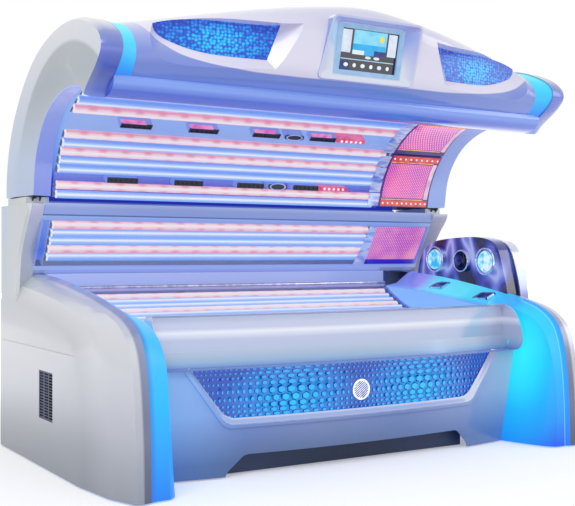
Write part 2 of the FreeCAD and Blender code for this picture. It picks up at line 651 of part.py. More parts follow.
front_depth = (FASCIA_Y - 150.0, FASCIA_Y + 250.0)
fascia_half = HORN_FOOT[0][0] - FASCIA_T  # the fascia ends against the horns
outline = box((-fascia_half, fascia_half), front_depth, (FLOOR_GAP, FASCIA_TOP))
fascia = bowed_sheet(0.0, FASCIA_T, FLOOR_GAP, FASCIA_TOP).common(outline)
for shift in (0.0, SEAT):
    horn_cut = horn_solid(0.0)
    horn_cut.translate(V(-shift, 0, 0))
    fascia = fascia.cut(horn_cut).cut(mirrored(horn_cut))
over = FASCIA_TOP + 3 * WINDOW_CORNER
fascia = fascia.cut(window_slab(front_depth, 0.0, over))
rim_ring = window_slab(front_depth, WINDOW_RIM, over).cut(window_slab(front_depth, 0.0, over))
rim_band = bowed_sheet(-WINDOW_RIM_PROUD, WINDOW_RIM_PROUD + PANEL_RECESS, FLOOR_GAP, FASCIA_TOP)
fascia = fascia.fuse(rim_band.common(rim_ring))
fascia = max(fascia.Solids, key=lambda solid: solid.Volume)
arch = rounded_front_slab(
    front_depth,
    [(-ARCH_FOOT_X, ARCH_FOOT_Z), (ARCH_FOOT_X, ARCH_FOOT_Z),
     (ARCH_TOP_X, ARCH_TOP_Z), (-ARCH_TOP_X, ARCH_TOP_Z)],
    ARCH_TOP_Z / 2,
)
fascia = fascia.cut(arch)
save("front_fascia", fascia)

panel_low = WINDOW_LOW_Z - WINDOW_RIM
panel = bowed_sheet(PANEL_RECESS + SEAT, PANEL_T, panel_low, FASCIA_TOP)
panel = panel.common(window_slab(front_depth, WINDOW_RIM, over))


def hole_size(x, z):
    """Holes are widest in the middle of two lobes and shrink towards their edges."""
    reach = math.hypot((abs(x) - LOBE_X) / LOBE_REACH_X, (z - LOBE_Z) / LOBE_REACH_Z)
    return PANEL_HOLE_MAX + (PANEL_HOLE_MIN - PANEL_HOLE_MAX) * min(reach, 1.0)


window_corners, _ = window(front_depth, -PANEL_HOLE_MAX, FASCIA_TOP)
half_top, half_low = window_corners[3][0], window_corners[2][0]
holes = []
rows = int((FASCIA_TOP - WINDOW_LOW_Z) / (PANEL_PITCH * math.sqrt(3) / 2))
for row in range(rows):
    z = WINDOW_LOW_Z + PANEL_PITCH * (0.6 + row * math.sqrt(3) / 2)
    share = (z - WINDOW_LOW_Z) / (FASCIA_TOP - WINDOW_LOW_Z)
    half = half_low + (half_top - half_low) * share - WINDOW_CORNER * 0.4
    steps = int(2 * half / PANEL_PITCH)
    for step in range(steps + 1):
        x = -steps * PANEL_PITCH / 2 + step * PANEL_PITCH + (row % 2) * PANEL_PITCH / 2
        if math.hypot(x, z - BADGE_Z) < BADGE_R + PANEL_HOLE_MAX or x > half:
            continue
        size = hole_size(x, z)
        corners = []
        for k in range(7):
            a = math.radians(60 * k + 30)
            corners.append(V(x + size * math.sin(a), front_depth[0], z + size * math.cos(a)))
        prism = Part.Face(Part.makePolygon(corners)).extrude(V(0, front_depth[1] - front_depth[0], 0))
        holes.append(prism)
panel = panel.cut(group(holes))
badge_y = FASCIA_Y + PANEL_RECESS + SEAT - FASCIA_LEAN * BADGE_Z / FASCIA_TOP
badge = Part.makeCylinder(BADGE_R, 40.0, V(0, badge_y - BADGE_T, BADGE_Z), V(0, 1, 0))
badge = badge.cut(bowed_sheet(PANEL_RECESS, 90.0, FLOOR_GAP, FASCIA_TOP))
save("honeycomb_panel", panel)
save("badge_disc", badge)

box_low = WINDOW_LOW_Z - WINDOW_RIM
light_box = bowed_sheet(PANEL_RECESS + PANEL_T + 2 * SEAT, LIGHT_BOX_GAP, box_low, FASCIA_TOP)
inside = bowed_sheet(
    PANEL_RECESS + PANEL_T, LIGHT_BOX_GAP - LIGHT_BOX_T, box_low + LIGHT_BOX_T, FASCIA_TOP - LIGHT_BOX_T,
)
light_box = light_box.common(window_slab(front_depth, WINDOW_RIM, over))
light_box = light_box.cut(inside.common(window_slab(front_depth, WINDOW_RIM - LIGHT_BOX_T, over)))
save("honeycomb_light_box", light_box)

toe = box((-TOE_HALF, TOE_HALF), (TOE_Y, TOE_Y + TOE_T), (FLOOR_GAP, ARCH_TOP_Z + TOE_LAP))
for x in TOE_STAYS:
    stay_x = (x - TOE_STAY[0] / 2, x + TOE_STAY[0] / 2)
    toe = toe.fuse(box(stay_x, (TOE_Y, FRAME_FRONT_Y - SEAT), TOE_STAY[1:]))
save("toe_kick", toe)


def rail_solid(wall):
    face = inset(RAIL_LINE, wall)
    low, high = FASCIA_TOP + SEAT + wall, RAIL_LINE[0][1] - wall
    face[0] = (face[0][0], high)
    face[-1] = (face[-1][0], low)
    back = RAIL_BACK_Y - wall
    foot = [(back - RAIL_FOOT[0], low), (back, low + RAIL_FOOT[1])]
    head = [(back, high - RAIL_EDGE), (back - RAIL_EDGE, high)]
    body = bowed([face, foot, head])
    half = RAIL_HALF - wall
    low_z, high_z = FASCIA_TOP - RAIL_TOOL, RAIL_LINE[0][1] + RAIL_TOOL
    ends = rounded_front_slab(
        front_depth, [(-half, low_z), (half, low_z), (half, high_z), (-half, high_z)], RAIL_END_R,
    )
    return body.common(ends)


rail = rail_solid(0.0).cut(rail_solid(RAIL_WALL))
for shift in (0.0, SEAT):
    horn_cut = horn_solid(0.0)
    horn_cut.translate(V(-shift, 0, 0))
    rail = rail.cut(horn_cut).cut(mirrored(horn_cut))
rail = max(rail.Solids, key=lambda solid: solid.Volume)
save("front_rail", rail)


# ------------------------------------------------------------------ bench
def circle_through(a, b, c):
    """Centre and radius of the circle through three (y, z) points."""
    circle = Part.Arc(V(0, *a), V(0, *b), V(0, *c)).toShape().Curve
    return (circle.Center.y, circle.Center.z), circle.Radius


bench_centre, bench_r = circle_through(BENCH_FRONT, BENCH_LOW, BENCH_REAR)


def bench_angle(point):
    return math.degrees(math.atan2(point[1] - bench_centre[1], point[0] - bench_centre[0]))


bench_angles = (bench_angle(BENCH_FRONT), bench_angle(BENCH_REAR))
bow_centre = V(0, FASCIA_Y + BOW_RADIUS, 0)
clear_of_rail = FASCIA_Y - RAIL_BACK_Y - RAIL_CLEAR
behind_rail = Part.makeCylinder(BOW_RADIUS + clear_of_rail, 2 * HINGE_Z, bow_centre)
pane = arc_band(BENCH_X, (bench_r, bench_r + PANE_T), bench_angles, bench_centre).common(behind_rail)
pane_rear = on_arc(bench_r, bench_angles[1], bench_centre)
rod_y = pane_rear[0] + HINGE_ROD_R + SEAT
rod_z_place = pane_rear[1] + HINGE_ROD_R * HINGE_ROD_RISE
save("bench_pane", pane)
hinge_rod = rod_x(HINGE_ROD_R, BENCH_X, rod_y, rod_z_place)
save("pane_hinge_rod", hinge_rod)
print("bench hinge axis", round(rod_y, 2), round(rod_z_place, 2), "bench radius", round(bench_r, 1))

lamp_ring = bench_r + PANE_T + LAMP_GAP + LAMP_R
tray_ring = lamp_ring + LAMP_R + LAMP_GAP
tray_angles = (bench_angles[0] + TRAY_START, bench_angles[1] - TRAY_END)
tray = arc_band(BENCH_X, (tray_ring, tray_ring + TRAY_T), tray_angles, bench_centre)
end_r = (bench_r + PANE_T + SEAT, tray_ring)
for x in ((BENCH_X[0], BENCH_X[0] + TRAY_T), (BENCH_X[1] - TRAY_T, BENCH_X[1])):
    tray = tray.fuse(arc_band(x, end_r, tray_angles, bench_centre))
save("bench_tray", tray)

bench_lamp_x = (BENCH_X[0] + TRAY_T + HOLDER, BENCH_X[1] - TRAY_T - HOLDER)
spread = tray_angles[1] - tray_angles[0] - LAMP_SPAN_EASE
blue_lamps, red_lamps, holders = [], [], []


def holder_pair(x, y, z):
    """A socket at each end of a lamp; the contact pins enter it."""
    pair = []
    for end, tip in ((x[0], -1), (x[1], 1)):
        span = (end + tip * HOLDER, end) if tip < 0 else (end, end + HOLDER)
        pair.append(rod_x(LAMP_R * SOCKET_SHARE, span, y, z))
    return pair


for i in range(BENCH_LAMPS):
    angle = tray_angles[0] + LAMP_SPAN_EASE / 2 + spread * i / (BENCH_LAMPS - 1)
    y, z = on_arc(lamp_ring, angle, bench_centre)
    (red_lamps if i % 3 == 1 else blue_lamps).append(lamp(bench_lamp_x, y, z))
    holders += holder_pair(bench_lamp_x, y, z)

# rear bar: closes the gap between the bench and the side tanner and cradles the hinge rod
bar_low = rod_z_place - HINGE_ROD_R - CRADLE_FLOOR
rear_bar = box(BENCH_X, REAR_BAR_Y, (bar_low, REAR_BAR_TOP))
shelf_top = rod_z_place - HINGE_ROD_R * CRADLE_OPEN
shelf = box(BENCH_X, (rod_y - CRADLE_LIP, REAR_BAR_Y[0]), (bar_low, shelf_top))
past_bar = (BENCH_X[0] - 1, BENCH_X[1] + 1)
rear_bar = rear_bar.fuse(shelf).cut(rod_x(HINGE_ROD_R + SEAT, past_bar, rod_y, rod_z_place))
bench_room = arc_band(
    past_bar, (bench_r - BENCH_ROOM[0], tray_ring + BENCH_ROOM[1]),
    (bench_angles[0], bench_angles[1] - BENCH_ROOM_EASE), bench_centre,
)
rear_bar = rear_bar.cut(bench_room)
save("bench_rear_bar", rear_bar)


# ------------------------------------------------------------------ frame, feet and plant
beam_z = (FRAME_Z, FRAME_Z + TUBE)
frame_y = (FRAME_FRONT_Y, FRAME_REAR_Y)
cross_y = (frame_y[0] + TUBE, frame_y[1])


def tube(x, y, z, along):
    """Square steel tube; along names the axis that its open ends face."""
    spans = []
    for axis, (low, high) in zip("xyz", (x, y, z)):
        spans.append((low - 1, high + 1) if axis == along else (low + TUBE_WALL, high - TUBE_WALL))
    return box(x, y, z).cut(box(*spans))


frame = [
    tube((-FRAME_HALF, FRAME_HALF), (frame_y[0], frame_y[0] + TUBE), beam_z, "x"),
    tube((-MAST_X[1], MAST_X[1]), (frame_y[1], frame_y[1] + TUBE), beam_z, "x"),
]
stations = (-FRAME_HALF, -FRAME_HALF / 3 - TUBE / 2, FRAME_HALF / 3 - TUBE / 2, FRAME_HALF - TUBE)
for x in stations:
    frame.append(tube((x, x + TUBE), cross_y, beam_z, "y"))
# cradles that carry the bench tray on the two middle cross beams, and the two end ones
for x in stations:
    low = beam_z[1]
    under_tray = (tray_ring + TRAY_T, tray_ring + HINGE_Z)
    for y in (frame_y[0] + 2 * TUBE, frame_y[1] - 2 * TUBE):
        across = (x + CRADLE_INSET, x + TUBE - CRADLE_INSET)
        upright = tube(across, (y, y + TUBE), (low, MAST_TOP), "z")
        below = arc_band((x, x + TUBE), under_tray, (181, 359), bench_centre)
        frame.append(upright.common(below))
for side in (-1, 1):
    mast = tube(MAST_X, (frame_y[1], frame_y[1] + TUBE), (beam_z[1], MAST_TOP), "z")
    frame.append(mast if side > 0 else mirrored(mast))
save("base_frame", group(frame))

feet = []
for x in (-FRAME_HALF + TUBE / 2, 0.0, FRAME_HALF - TUBE / 2):
    for y in (frame_y[0] + TUBE / 2, frame_y[1] + TUBE / 2):
        pad = rod_z(FOOT_R, x, y, (0, FOOT_PAD_T))
        feet.append(pad.fuse(rod_z(STEM_R, x, y, (FOOT_PAD_T, FRAME_Z))))
save("levelling_feet", group(feet))

rotor_z = (beam_z[0] + BLOWER_LIFT, beam_z[0] + BLOWER_LIFT + BLOWER_T)
casing_r = BLOWER_R + BLOWER_TIP_GAP
casing_z = (rotor_z[0] - BLOWER_WALL, rotor_z[1] + BLOWER_WALL)
leg_z = (casing_z[0], casing_z[0] + BLOWER_LEG_T)
disc_z = (rotor_z[0] + ROTOR_LOW, rotor_z[0] + ROTOR_LOW + ROTOR_DISC_T)
axle_top = rotor_z[1] - BLOWER_AXLE_DROP
housings = []
for name, x in (("left", -BLOWER_X), ("right", BLOWER_X)):
    shell_out = rod_z(casing_r + BLOWER_WALL, x, BLOWER_Y, casing_z)
    shell_in = rod_z(casing_r, x, BLOWER_Y, rotor_z)
    eye = rod_z(BLOWER_R * BLOWER_EYE, x, BLOWER_Y, (rotor_z[1] - 1, casing_z[1] + 1))
    axle = rod_z(BLOWER_AXLE_R, x, BLOWER_Y, (rotor_z[0], axle_top))
    leg_x = (x - BLOWER_LEG_W / 2, x + BLOWER_LEG_W / 2)
    leg = box(leg_x, (BLOWER_Y + BLOWER_R, frame_y[1]), leg_z).cut(shell_in)
    housings.append(shell_out.cut(shell_in).cut(eye).fuse(axle).fuse(leg))
    rotor = rod_z(ROTOR_HUB_R, x, BLOWER_Y, (disc_z[0], rotor_z[1] - ROTOR_TOP))
    rotor = rotor.fuse(rod_z(BLOWER_R, x, BLOWER_Y, disc_z))
    blade_x = (ROTOR_HUB_R - ROTOR_BLADE_T + 1, BLOWER_R)
    half_t = ROTOR_BLADE_T / 2
    for k in range(ROTOR_BLADES):
        blade = box(blade_x, (-half_t, half_t), (disc_z[1], rotor_z[1] - ROTOR_TOP))
        blade.rotate(V(0, 0, 0), V(0, 0, 1), 360.0 * k / ROTOR_BLADES)
        blade.translate(V(x, BLOWER_Y, 0))
        rotor = rotor.fuse(blade)
    rotor = rotor.cut(rod_z(BLOWER_AXLE_R + RUN, x, BLOWER_Y, (0, axle_top)))
    save(name + "_blower_rotor", rotor)
save("blower_housings", group(housings))

# the ballast units of the lamps stand behind the front beam, each with a foot on it
ballasts = []
for i in range(BALLASTS):
    x = -FRAME_HALF + 2 * TUBE + i * (BALLAST[0] + BALLAST_GAP)
    unit_y = frame_y[0] + TUBE + BALLAST_BACK
    unit_z = beam_z[1] + BALLAST_LIFT
    y = (unit_y, unit_y + BALLAST[1])
    unit = box((x, x + BALLAST[0]), y, (unit_z, unit_z + BALLAST[2]))
    foot_y = (frame_y[0] + TUBE - BALLAST_FOOT, y[1])
    foot = box((x, x + BALLAST[0]), foot_y, (beam_z[1], unit_z))
    ballasts.append(unit.fuse(foot))
save("ballast_units", group(ballasts))

back_y = (REAR_Y - BACK_T, REAR_Y)
low_x, high_x = SHELL_INNER_X - SEAT, POST_INNER_X - SEAT
back = box((-low_x, low_x), back_y, (REAR_LOW_Z, RIM_LINE[-1][1] + SEAT))
back = back.fuse(box((-high_x, high_x), back_y, (RIM_LINE[-1][1] + SEAT, POST_TOP - BACK_DROP)))
inlet_y = (REAR_Y - INLET[1], REAR_Y)
inlet = box((-INLET[0] / 2, INLET[0] / 2), inlet_y, (INLET_Z, INLET_Z + INLET[2]))
inlet_room = box(
    (-INLET[0] / 2 - SEAT, INLET[0] / 2 + SEAT), inlet_y, (INLET_Z - SEAT, INLET_Z + INLET[2] + SEAT),
)
save("rear_cover", back.cut(inlet_room))
save("power_inlet", inlet)


# ------------------------------------------------------------------ side tanner
def tanner_slab(x, shift, thickness):
    front = inset(TANNER_SCREEN, -shift)
    rear = inset(TANNER_SCREEN, -shift - thickness)
    return side_slab(x, front, list(reversed(rear)))


tanner_x = (-TANNER_HALF, TANNER_HALF)
lamps_x = (FIELD_X[0] - TRAY_T, SHOULDER_X[0] - TANNER_END)
screen_x = (lamps_x[0] - 2 * TRAY_T, SHOULDER_X[0] - TRAY_T)
screen = tanner_slab(screen_x, 0.0, TANNER_T)
save("side_tanner_screen", screen)
deep = TANNER_T + 2 * LAMP_GAP + 2 * LAMP_R
cheek_x = ((-TANNER_HALF, -TANNER_HALF + CHEEK_T), (TANNER_HALF - CHEEK_T, TANNER_HALF))
reflector = tanner_slab((cheek_x[0][1], cheek_x[1][0]), deep, TRAY_T)
top_y, top_z = TANNER_SCREEN[0]
low_y, low_z = TANNER_SCREEN[-1]
over_top = top_z + COVER_T + SEAT
transom_line = [
    (back_y[0] - SEAT, TRANSOM_Z[1]), (TRANSOM_Y, TRANSOM_Z[1]), (TRANSOM_Y, TRANSOM_Z[0]),
    (TRANSOM_Y + TRANSOM_EDGE[0], TRANSOM_Z[0] - TRANSOM_EDGE[1]), (top_y, over_top),
    (top_y + deep + TANNER_PAST, over_top),
]
transom = folded(tanner_x, transom_line, -COVER_T)
sill_z = REAR_BAR_TOP + SEAT
sill_line = [
    (low_y + deep + TANNER_PAST, low_z - SEAT), (low_y, low_z - SEAT),
    (low_y + SILL_EDGE[0], low_z - SILL_EDGE[1]), (REAR_BAR_Y[1], sill_z),
    (REAR_BAR_Y[1] + SILL_LAP, sill_z),
]
sill = folded(tanner_x, sill_line, -COVER_T)
lifted_wing = wing_outer.copy()
lifted_wing.translate(V(0, 0, SEAT))
sill = sill.cut(lifted_wing).cut(mirrored(lifted_wing))
housing = transom.fuse(sill).fuse(reflector)
tanner_room = ((top_y - deep, low_y + 2 * deep), (low_z + SEAT, top_z - SEAT))
for x in cheek_x:
    housing = housing.fuse(tanner_slab(x, 0.0, deep + TRAY_T))
    housing = housing.fuse(box(x, (low_y, low_y + deep), (low_z - 2 * COVER_T, low_z + COVER_T)))
for x in ((lamps_x[0] - TRAY_T, lamps_x[0]), (lamps_x[1], lamps_x[1] + TRAY_T)):
    end_wall = tanner_slab(x, TANNER_T + SEAT, deep - TANNER_T)
    housing = housing.fuse(end_wall)
save("side_tanner_housing", housing)

tanner_blue, tanner_red = [], []
centre_line = inset(TANNER_SCREEN, -(TANNER_T + LAMP_GAP + LAMP_R))
spine = run([V(0, y, z) for y, z in centre_line])
for i in range(TANNER_LAMPS):
    share = TANNER_MARGIN + (1 - 2 * TANNER_MARGIN) * i / (TANNER_LAMPS - 1)
    spot = spine.valueAt(spine.FirstParameter + share * (spine.LastParameter - spine.FirstParameter))
    lamp_x = (lamps_x[0] + HOLDER, lamps_x[1] - HOLDER)
    (tanner_red if i in (0, 3) else tanner_blue).append(lamp(lamp_x, spot.y, spot.z))
    holders += holder_pair(lamp_x, spot.y, spot.z)
save("base_lamps_blue", group(blue_lamps + tanner_blue))
save("base_lamps_red", group(red_lamps + tanner_red))
save("base_lamp_holders", group(holders))
shoulder = tanner_slab(SHOULDER_X, SHOULDER_SET, deep - SHOULDER_SET - SEAT)
shoulder = shoulder.common(box(SHOULDER_X, *tanner_room))
save("shoulder_tanner", shoulder)


# ------------------------------------------------------------------ canopy
RIM_OUTER_X = CAP_BEND_X + 1.0


def between(line, other, share):
    """Points that lie between two lines of equally many points."""
    return [(y + (v - y) * share, z + (w - z) * share) for (y, z), (v, w) in zip(line, other)]


def arm_line_at(x):
    """The hollow edge of the arm at x, on the smooth band between its outer and inner line."""
    share = (RIM_OUTER_X - x) / (RIM_OUTER_X - RIM_INNER_X)
    return between(ARM_LINE, ARM_INNER_LINE, max(share, 0.0))


def side_plate(x, corners):
    """Flat plate with straight edges in a side view."""
    points = [V(x[0], y, z) for y, z in list(corners) + list(corners[:1])]
    return Part.Face(Part.makePolygon(points)).extrude(V(x[1] - x[0], 0, 0))


def lip_solid(grow):
    """The bar along the canopy's lower front edge; a negative grow gives its inside."""
    half = CAP_INNER_X - SEAT + max(grow, 0.0) - 3 * min(grow, 0.0)
    front, back = inset(LIP_LINE, grow), inset(LIP_BACK, grow)
    body = side_slab((-half, half), front, back)
    top = (SEAM_Z - SEAM_H - 1.0, SEAM_Z - SEAT + grow)
    tongue = (LIP_LINE[0][0] + SEAM_DEPTH - grow, LIP_BACK[-1][0] + grow)
    return body.fuse(box((-half, half), tongue, top))


def rim_loft():
    """The smooth band that leads from the arm's outer edge in to the lamp field."""
    wires = []
    for x, line in ((RIM_OUTER_X, ARM_LINE), (RIM_INNER_X, ARM_INNER_LINE)):
        back = inset(line, RIM_T)
        back[0] = (back[0][0], ARM_BOTTOM)
        wires.append(side_wire(x, line, list(reversed(back))))
    return loft(wires)


lip = lip_solid(0.0)
lip_space = lip_solid(-LIP_WALL)
lip_room = lip_solid(SEAT)
right_rim = rim_loft().cut(lip_room)
save("canopy_lip", lip.cut(lip_space))
save("canopy_inner_rims", group([right_rim, mirrored(right_rim)]))


def cap_solid(wall):
    """An end cap with its arm: flat inner side, bevelled outer side with a scoop."""
    lip_t = RIM_T + 2 * SEAT + wall
    scoop = inset(SCOOP_LINE, wall)
    skin = inset(CAP_LINE, wall)
    face = inset(CAP_LINE, CAP_CHAMFER + wall)
    low = ARM_BOTTOM - 2 * wall
    start_x, bend_x = CAP_INNER_X - 2 * wall, CAP_BEND_X - wall
    wires = []
    for x, line, rim in (
        (start_x, inset(arm_line_at(start_x), lip_t), skin),
        (bend_x, inset(arm_line_at(bend_x), lip_t), skin),
        (CAP_FACE_X - wall, scoop, face),
    ):
        hollow_edge = [(line[0][0], low)] + line[1:]
        outer_edge = rim[:-1] + [(rim[-1][0], low)]
        wires.append(side_wire(x, hollow_edge, outer_edge))
    return loft(wires)


cap = cap_solid(0.0).cut(cap_solid(CAP_WALL))
save("right_end_cap", cap)
save("left_end_cap", mirrored(cap))


def thin_skin(line, thickness):
    return line, list(reversed(inset(line, thickness)))


def spline_of(line):
    spline = Part.BSplineCurve()
    spline.interpolate([V(0, y, z) for y, z in line])
    return spline


# the shell and the strips lie against the inside of the caps
lap_curve = spline_of(inset(CAP_LINE, CAP_WALL + 3 * SEAT))


def snapped(line):
    spots = [lap_curve.value(lap_curve.parameter(V(0, y, z))) for y, z in line]
    return [(spot.y, spot.z) for spot in spots]


strip_outer = snapped(STRIP_OUT_LINE)
split = lap_curve.parameter(V(0, *STRIP_OUT_LINE[0]))
shell_line = [strip_outer[0]]
for k in range(1, 7):
    spot = lap_curve.value(split + (lap_curve.LastParameter - split) * k / 6)
    shell_line.append((spot.y, spot.z))
shell_line[0] = (shell_line[0][0] + SHELL_SEAM, shell_line[0][1])
shell_skin = side_slab((-LAP_X, LAP_X), *thin_skin(shell_line, COVER_T))
save("canopy_shell", shell_skin)

strip_x0 = NOSE_HALF + SEAT
strip_t = COVER_T + 1.0
strip_wires = []
for x, line in ((LAP_X, strip_outer), (strip_x0, STRIP_IN_LINE)):
    strip_wires.append(side_wire(x, *thin_skin(list(reversed(line)), strip_t)))
light_strip = loft(strip_wires)
save("canopy_light_strips", group([light_strip, mirrored(light_strip)]))


def nose_solid(wall):
    """The front cover: its outline swells from the light strips to the middle."""
    wires = []
    for step in range(-NOSE_STATIONS, NOSE_STATIONS + 1):
        share = 1.0 - (abs(step) / NOSE_STATIONS) ** NOSE_SWELL
        line = []
        for (end_y, end_z), (mid_y, mid_z) in zip(STRIP_IN_LINE, NOSE_LINE):
            line.append((end_y + (mid_y - end_y) * share, end_z + (mid_z - end_z) * share))
        line = inset(list(reversed(line)), wall)
        sink = 2 * wall
        rear = (NOSE_LINE[0][0], NOSE_LINE[0][1] - NOSE_REAR_DROP - sink)
        front = (NOSE_LINE[-1][0] + NOSE_FOOT, NOSE_LINE[-1][1] - sink)
        half = NOSE_HALF + (1.0 if wall else 0.0)
        station = half * step / NOSE_STATIONS
        wires.append(side_wire(station, line, [line[-1], rear], [front, line[0]]))
    return loft(wires, ruled=False)


def lens_placed(shape):
    """Moves a shape drawn along x to the right lens's place and turn."""
    shape.rotate(V(0, 0, 0), V(0, 0, 1), LENS_TURN)
    shape.translate(V(LENS_PIVOT[0], LENS_PIVOT[1], 0))
    return shape


def lens_tool(grow, near, far):
    """Tapered tool for a lens recess; near and far are depths in front of the lens face."""
    wires = []
    for depth in (near, far):
        flare = max(depth, 0.0) * LENS_FLARE
        corners = []
        for s, z in LENS_OUTLINE:
            out = grow + flare * (LENS_OUT if s > 0 else LENS_IN)
            height = z - grow - flare if z < LENS_BROW_Z else z + grow
            corners.append(V(s + out * math.copysign(1.0, s), -depth, height))
        lower = [corners[k] for k in range(1, 7)]
        upper = [corners[k] for k in (6, 7, 8, 0)]
        wires.append(Part.Wire([Part.makeLine(corners[0], corners[1]), run(lower), run(upper)]))
    return lens_placed(loft(wires))


def pod_quad(quad, grow):
    """Rounded four-sided outline through a low and a high edge given as half width, y, z."""
    (low_half, low_y, low_z), (high_half, high_y, high_z) = quad
    up = V(0, high_y - low_y, high_z - low_z)
    lean = up * (1.0 / up.Length)
    low = V(0, low_y, low_z) - lean * grow
    high = V(0, high_y, high_z) + lean * grow
    corners = [
        low + V(-low_half - grow, 0, 0), low + V(low_half + grow, 0, 0),
        high + V(high_half + grow, 0, 0), high + V(-high_half - grow, 0, 0),
    ]
    edges = []
    stops = []
    for i, corner in enumerate(corners):
        before = (corners[i - 1] - corner).normalize()
        after = (corners[(i + 1) % 4] - corner).normalize()
        cut = POD_CORNER + grow
        bulge = corner + (before + after) * (cut * (1 - math.sqrt(0.5)))
        stops.append((corner + before * cut, bulge, corner + after * cut))
    for i, (start, bulge, end) in enumerate(stops):
        edges.append(Part.Arc(start, bulge, end).toShape())
        edges.append(Part.makeLine(end, stops[(i + 1) % 4][0]))
    return Part.Wire(edges)


def tilted(shape):
    """Moves a shape drawn upright at the origin to the display's place."""
    shape.rotate(V(0, 0, 0), V(1, 0, 0), DISPLAY_TILT)
    shape.translate(V(0, DISPLAY_Y, DISPLAY_Z))
    return shape


def display_quad(depth):
    """Low and high edge of the inner frame at a depth behind its front."""
    half, tall = DISPLAY_FRAME
    edges = []
    tilt = math.radians(DISPLAY_TILT)
    for along in (-tall, tall):
        y = DISPLAY_Y - along * math.sin(tilt) + depth * math.cos(tilt)
        z = DISPLAY_Z + along * math.cos(tilt) + depth * math.sin(tilt)
        edges.append((half, y, z))
    return edges


def grown_pod(grow):
    return loft([pod_quad(POD_MOUTH, grow), pod_quad(POD_BACK, grow)])


right_pocket = lens_tool(0.0, 0.0, LENS_DEPTH)
right_cavity = lens_tool(COVER_T, -COVER_T, LENS_DEPTH)
cover = nose_solid(0.0).cut(right_pocket).cut(mirrored(right_pocket))
cover_space = nose_solid(COVER_T).cut(right_cavity).cut(mirrored(right_cavity))
cover = cover.cut(cover_space).cut(grown_pod(SEAT))
cover = max(cover.Solids, key=lambda solid: solid.Volume)
save("canopy_front_cover", cover)
lens_reach = max(abs(s) for s, z in LENS_OUTLINE) + LENS_T * LENS_FLARE
lens_heights = [z for s, z in LENS_OUTLINE]
lens_z = (min(lens_heights) - LENS_T * LENS_FLARE, max(lens_heights) + LENS_T)
lens_slab = lens_placed(box((-lens_reach, lens_reach), (-LENS_T, -SEAT), lens_z))
lens = lens_tool(-LENS_EASE, 0.0, LENS_DEPTH).common(lens_slab)
save("canopy_lenses", group([lens, mirrored(lens)]))

# display: a hood with a sloping inner frame, the glass behind the frame
hood_in = loft([pod_quad(POD_MOUTH, -POD_EDGE), pod_quad(display_quad(0.0), 0.0)])
hood_wall = loft([
    pod_quad(POD_MOUTH, -POD_WALL / 2),
    pod_quad(display_quad(DISPLAY_FRAME_T), POD_WALL),
])
view_half, view_tall = DISPLAY_VIEW
view = tilted(box((-view_half, view_half), (-1, DISPLAY_FRAME_T + 1), (-view_tall, view_tall)))
back_shift = [(half, y + 1.0, z) for half, y, z in POD_BACK]
pod_space = loft([pod_quad(POD_MOUTH, -POD_WALL), pod_quad(back_shift, -POD_WALL)])
bezel = grown_pod(0.0).cut(pod_space.cut(hood_wall)).cut(hood_in).cut(view)
bezel = max(bezel.Solids, key=lambda solid: solid.Volume)
save("display_bezel", bezel)
glass_half, glass_tall = view_half + DISPLAY_LAP, view_tall + DISPLAY_LAP
glass_y = (DISPLAY_FRAME_T + SEAT, DISPLAY_FRAME_T + SEAT + DISPLAY_T)
save("display_screen", tilted(box((-glass_half, glass_half), glass_y, (-glass_tall, glass_tall))))


# ------------------------------------------------------------------ canopy lamp field
def fitted(shape, angle):
    """Moves a shape drawn with +z as the radius to its angle on the lamp field."""
    shape.rotate(V(0, 0, 0), V(1, 0, 0), angle - 90.0)
    shape.translate(V(0, TUNNEL_Y, TUNNEL_Z))
    return shape


screen_back = SCREEN_R + SCREEN_T
lamp_row_r = screen_back + LAMP_GAP + LAMP_R
reflector_r = lamp_row_r + LAMP_R + REFLECTOR_GAP
field_angles = (SCREEN_FROM, SCREEN_TO)
reflector_half = PLATE_X[0] - SEAT
reflector = arc_band(
    (-reflector_half, reflector_half), (reflector_r, reflector_r + REFLECTOR_T), field_angles,
)
end_walls = (
    (FIELD_X[0] - REFLECTOR_T, FIELD_X[0]), (FIELD_X[1], FIELD_X[1] + REFLECTOR_T),
)
for x in end_walls:
    reflector = reflector.fuse(arc_band(x, (screen_back + SEAT, reflector_r), field_angles))
save("canopy_reflector", reflector)

lamp_x = (FIELD_X[0] + HOLDER, FIELD_X[1] - HOLDER)
canopy_blue, canopy_red, sockets = [], [], []
for angles, lamps in ((BLUE_ANGLES, canopy_blue), (RED_ANGLES, canopy_red)):
    for angle in angles:
        y, z = on_arc(lamp_row_r, angle)
        lamps.append(lamp(lamp_x, y, z))
        sockets += holder_pair(lamp_x, y, z)
save("canopy_lamps_blue", group(canopy_blue))
save("canopy_lamps_red", group(canopy_red))
save("canopy_lamp_holders", group(sockets))

screen_x = (end_walls[0][0], end_walls[1][1])
acrylic = arc_band(screen_x, (SCREEN_R, screen_back), field_angles)
face_r, seat_r = SCREEN_R - VENT_BEAD, reflector_r - SEAT


def bar(x, length, width, grow, radii, rounded=False):
    """Bar along the canopy, drawn with +z as the radius."""
    half_w = width / 2 + grow
    half_l = length / 2 + grow
    if not rounded:
        return box((x - half_l, x + half_l), (-half_w, half_w), radii)
    straight = half_l - half_w
    body = box((x - straight, x + straight), (-half_w, half_w), radii)
    for end in (x - straight, x + straight):
        body = body.fuse(rod_z(half_w, end, 0, radii))
    return body


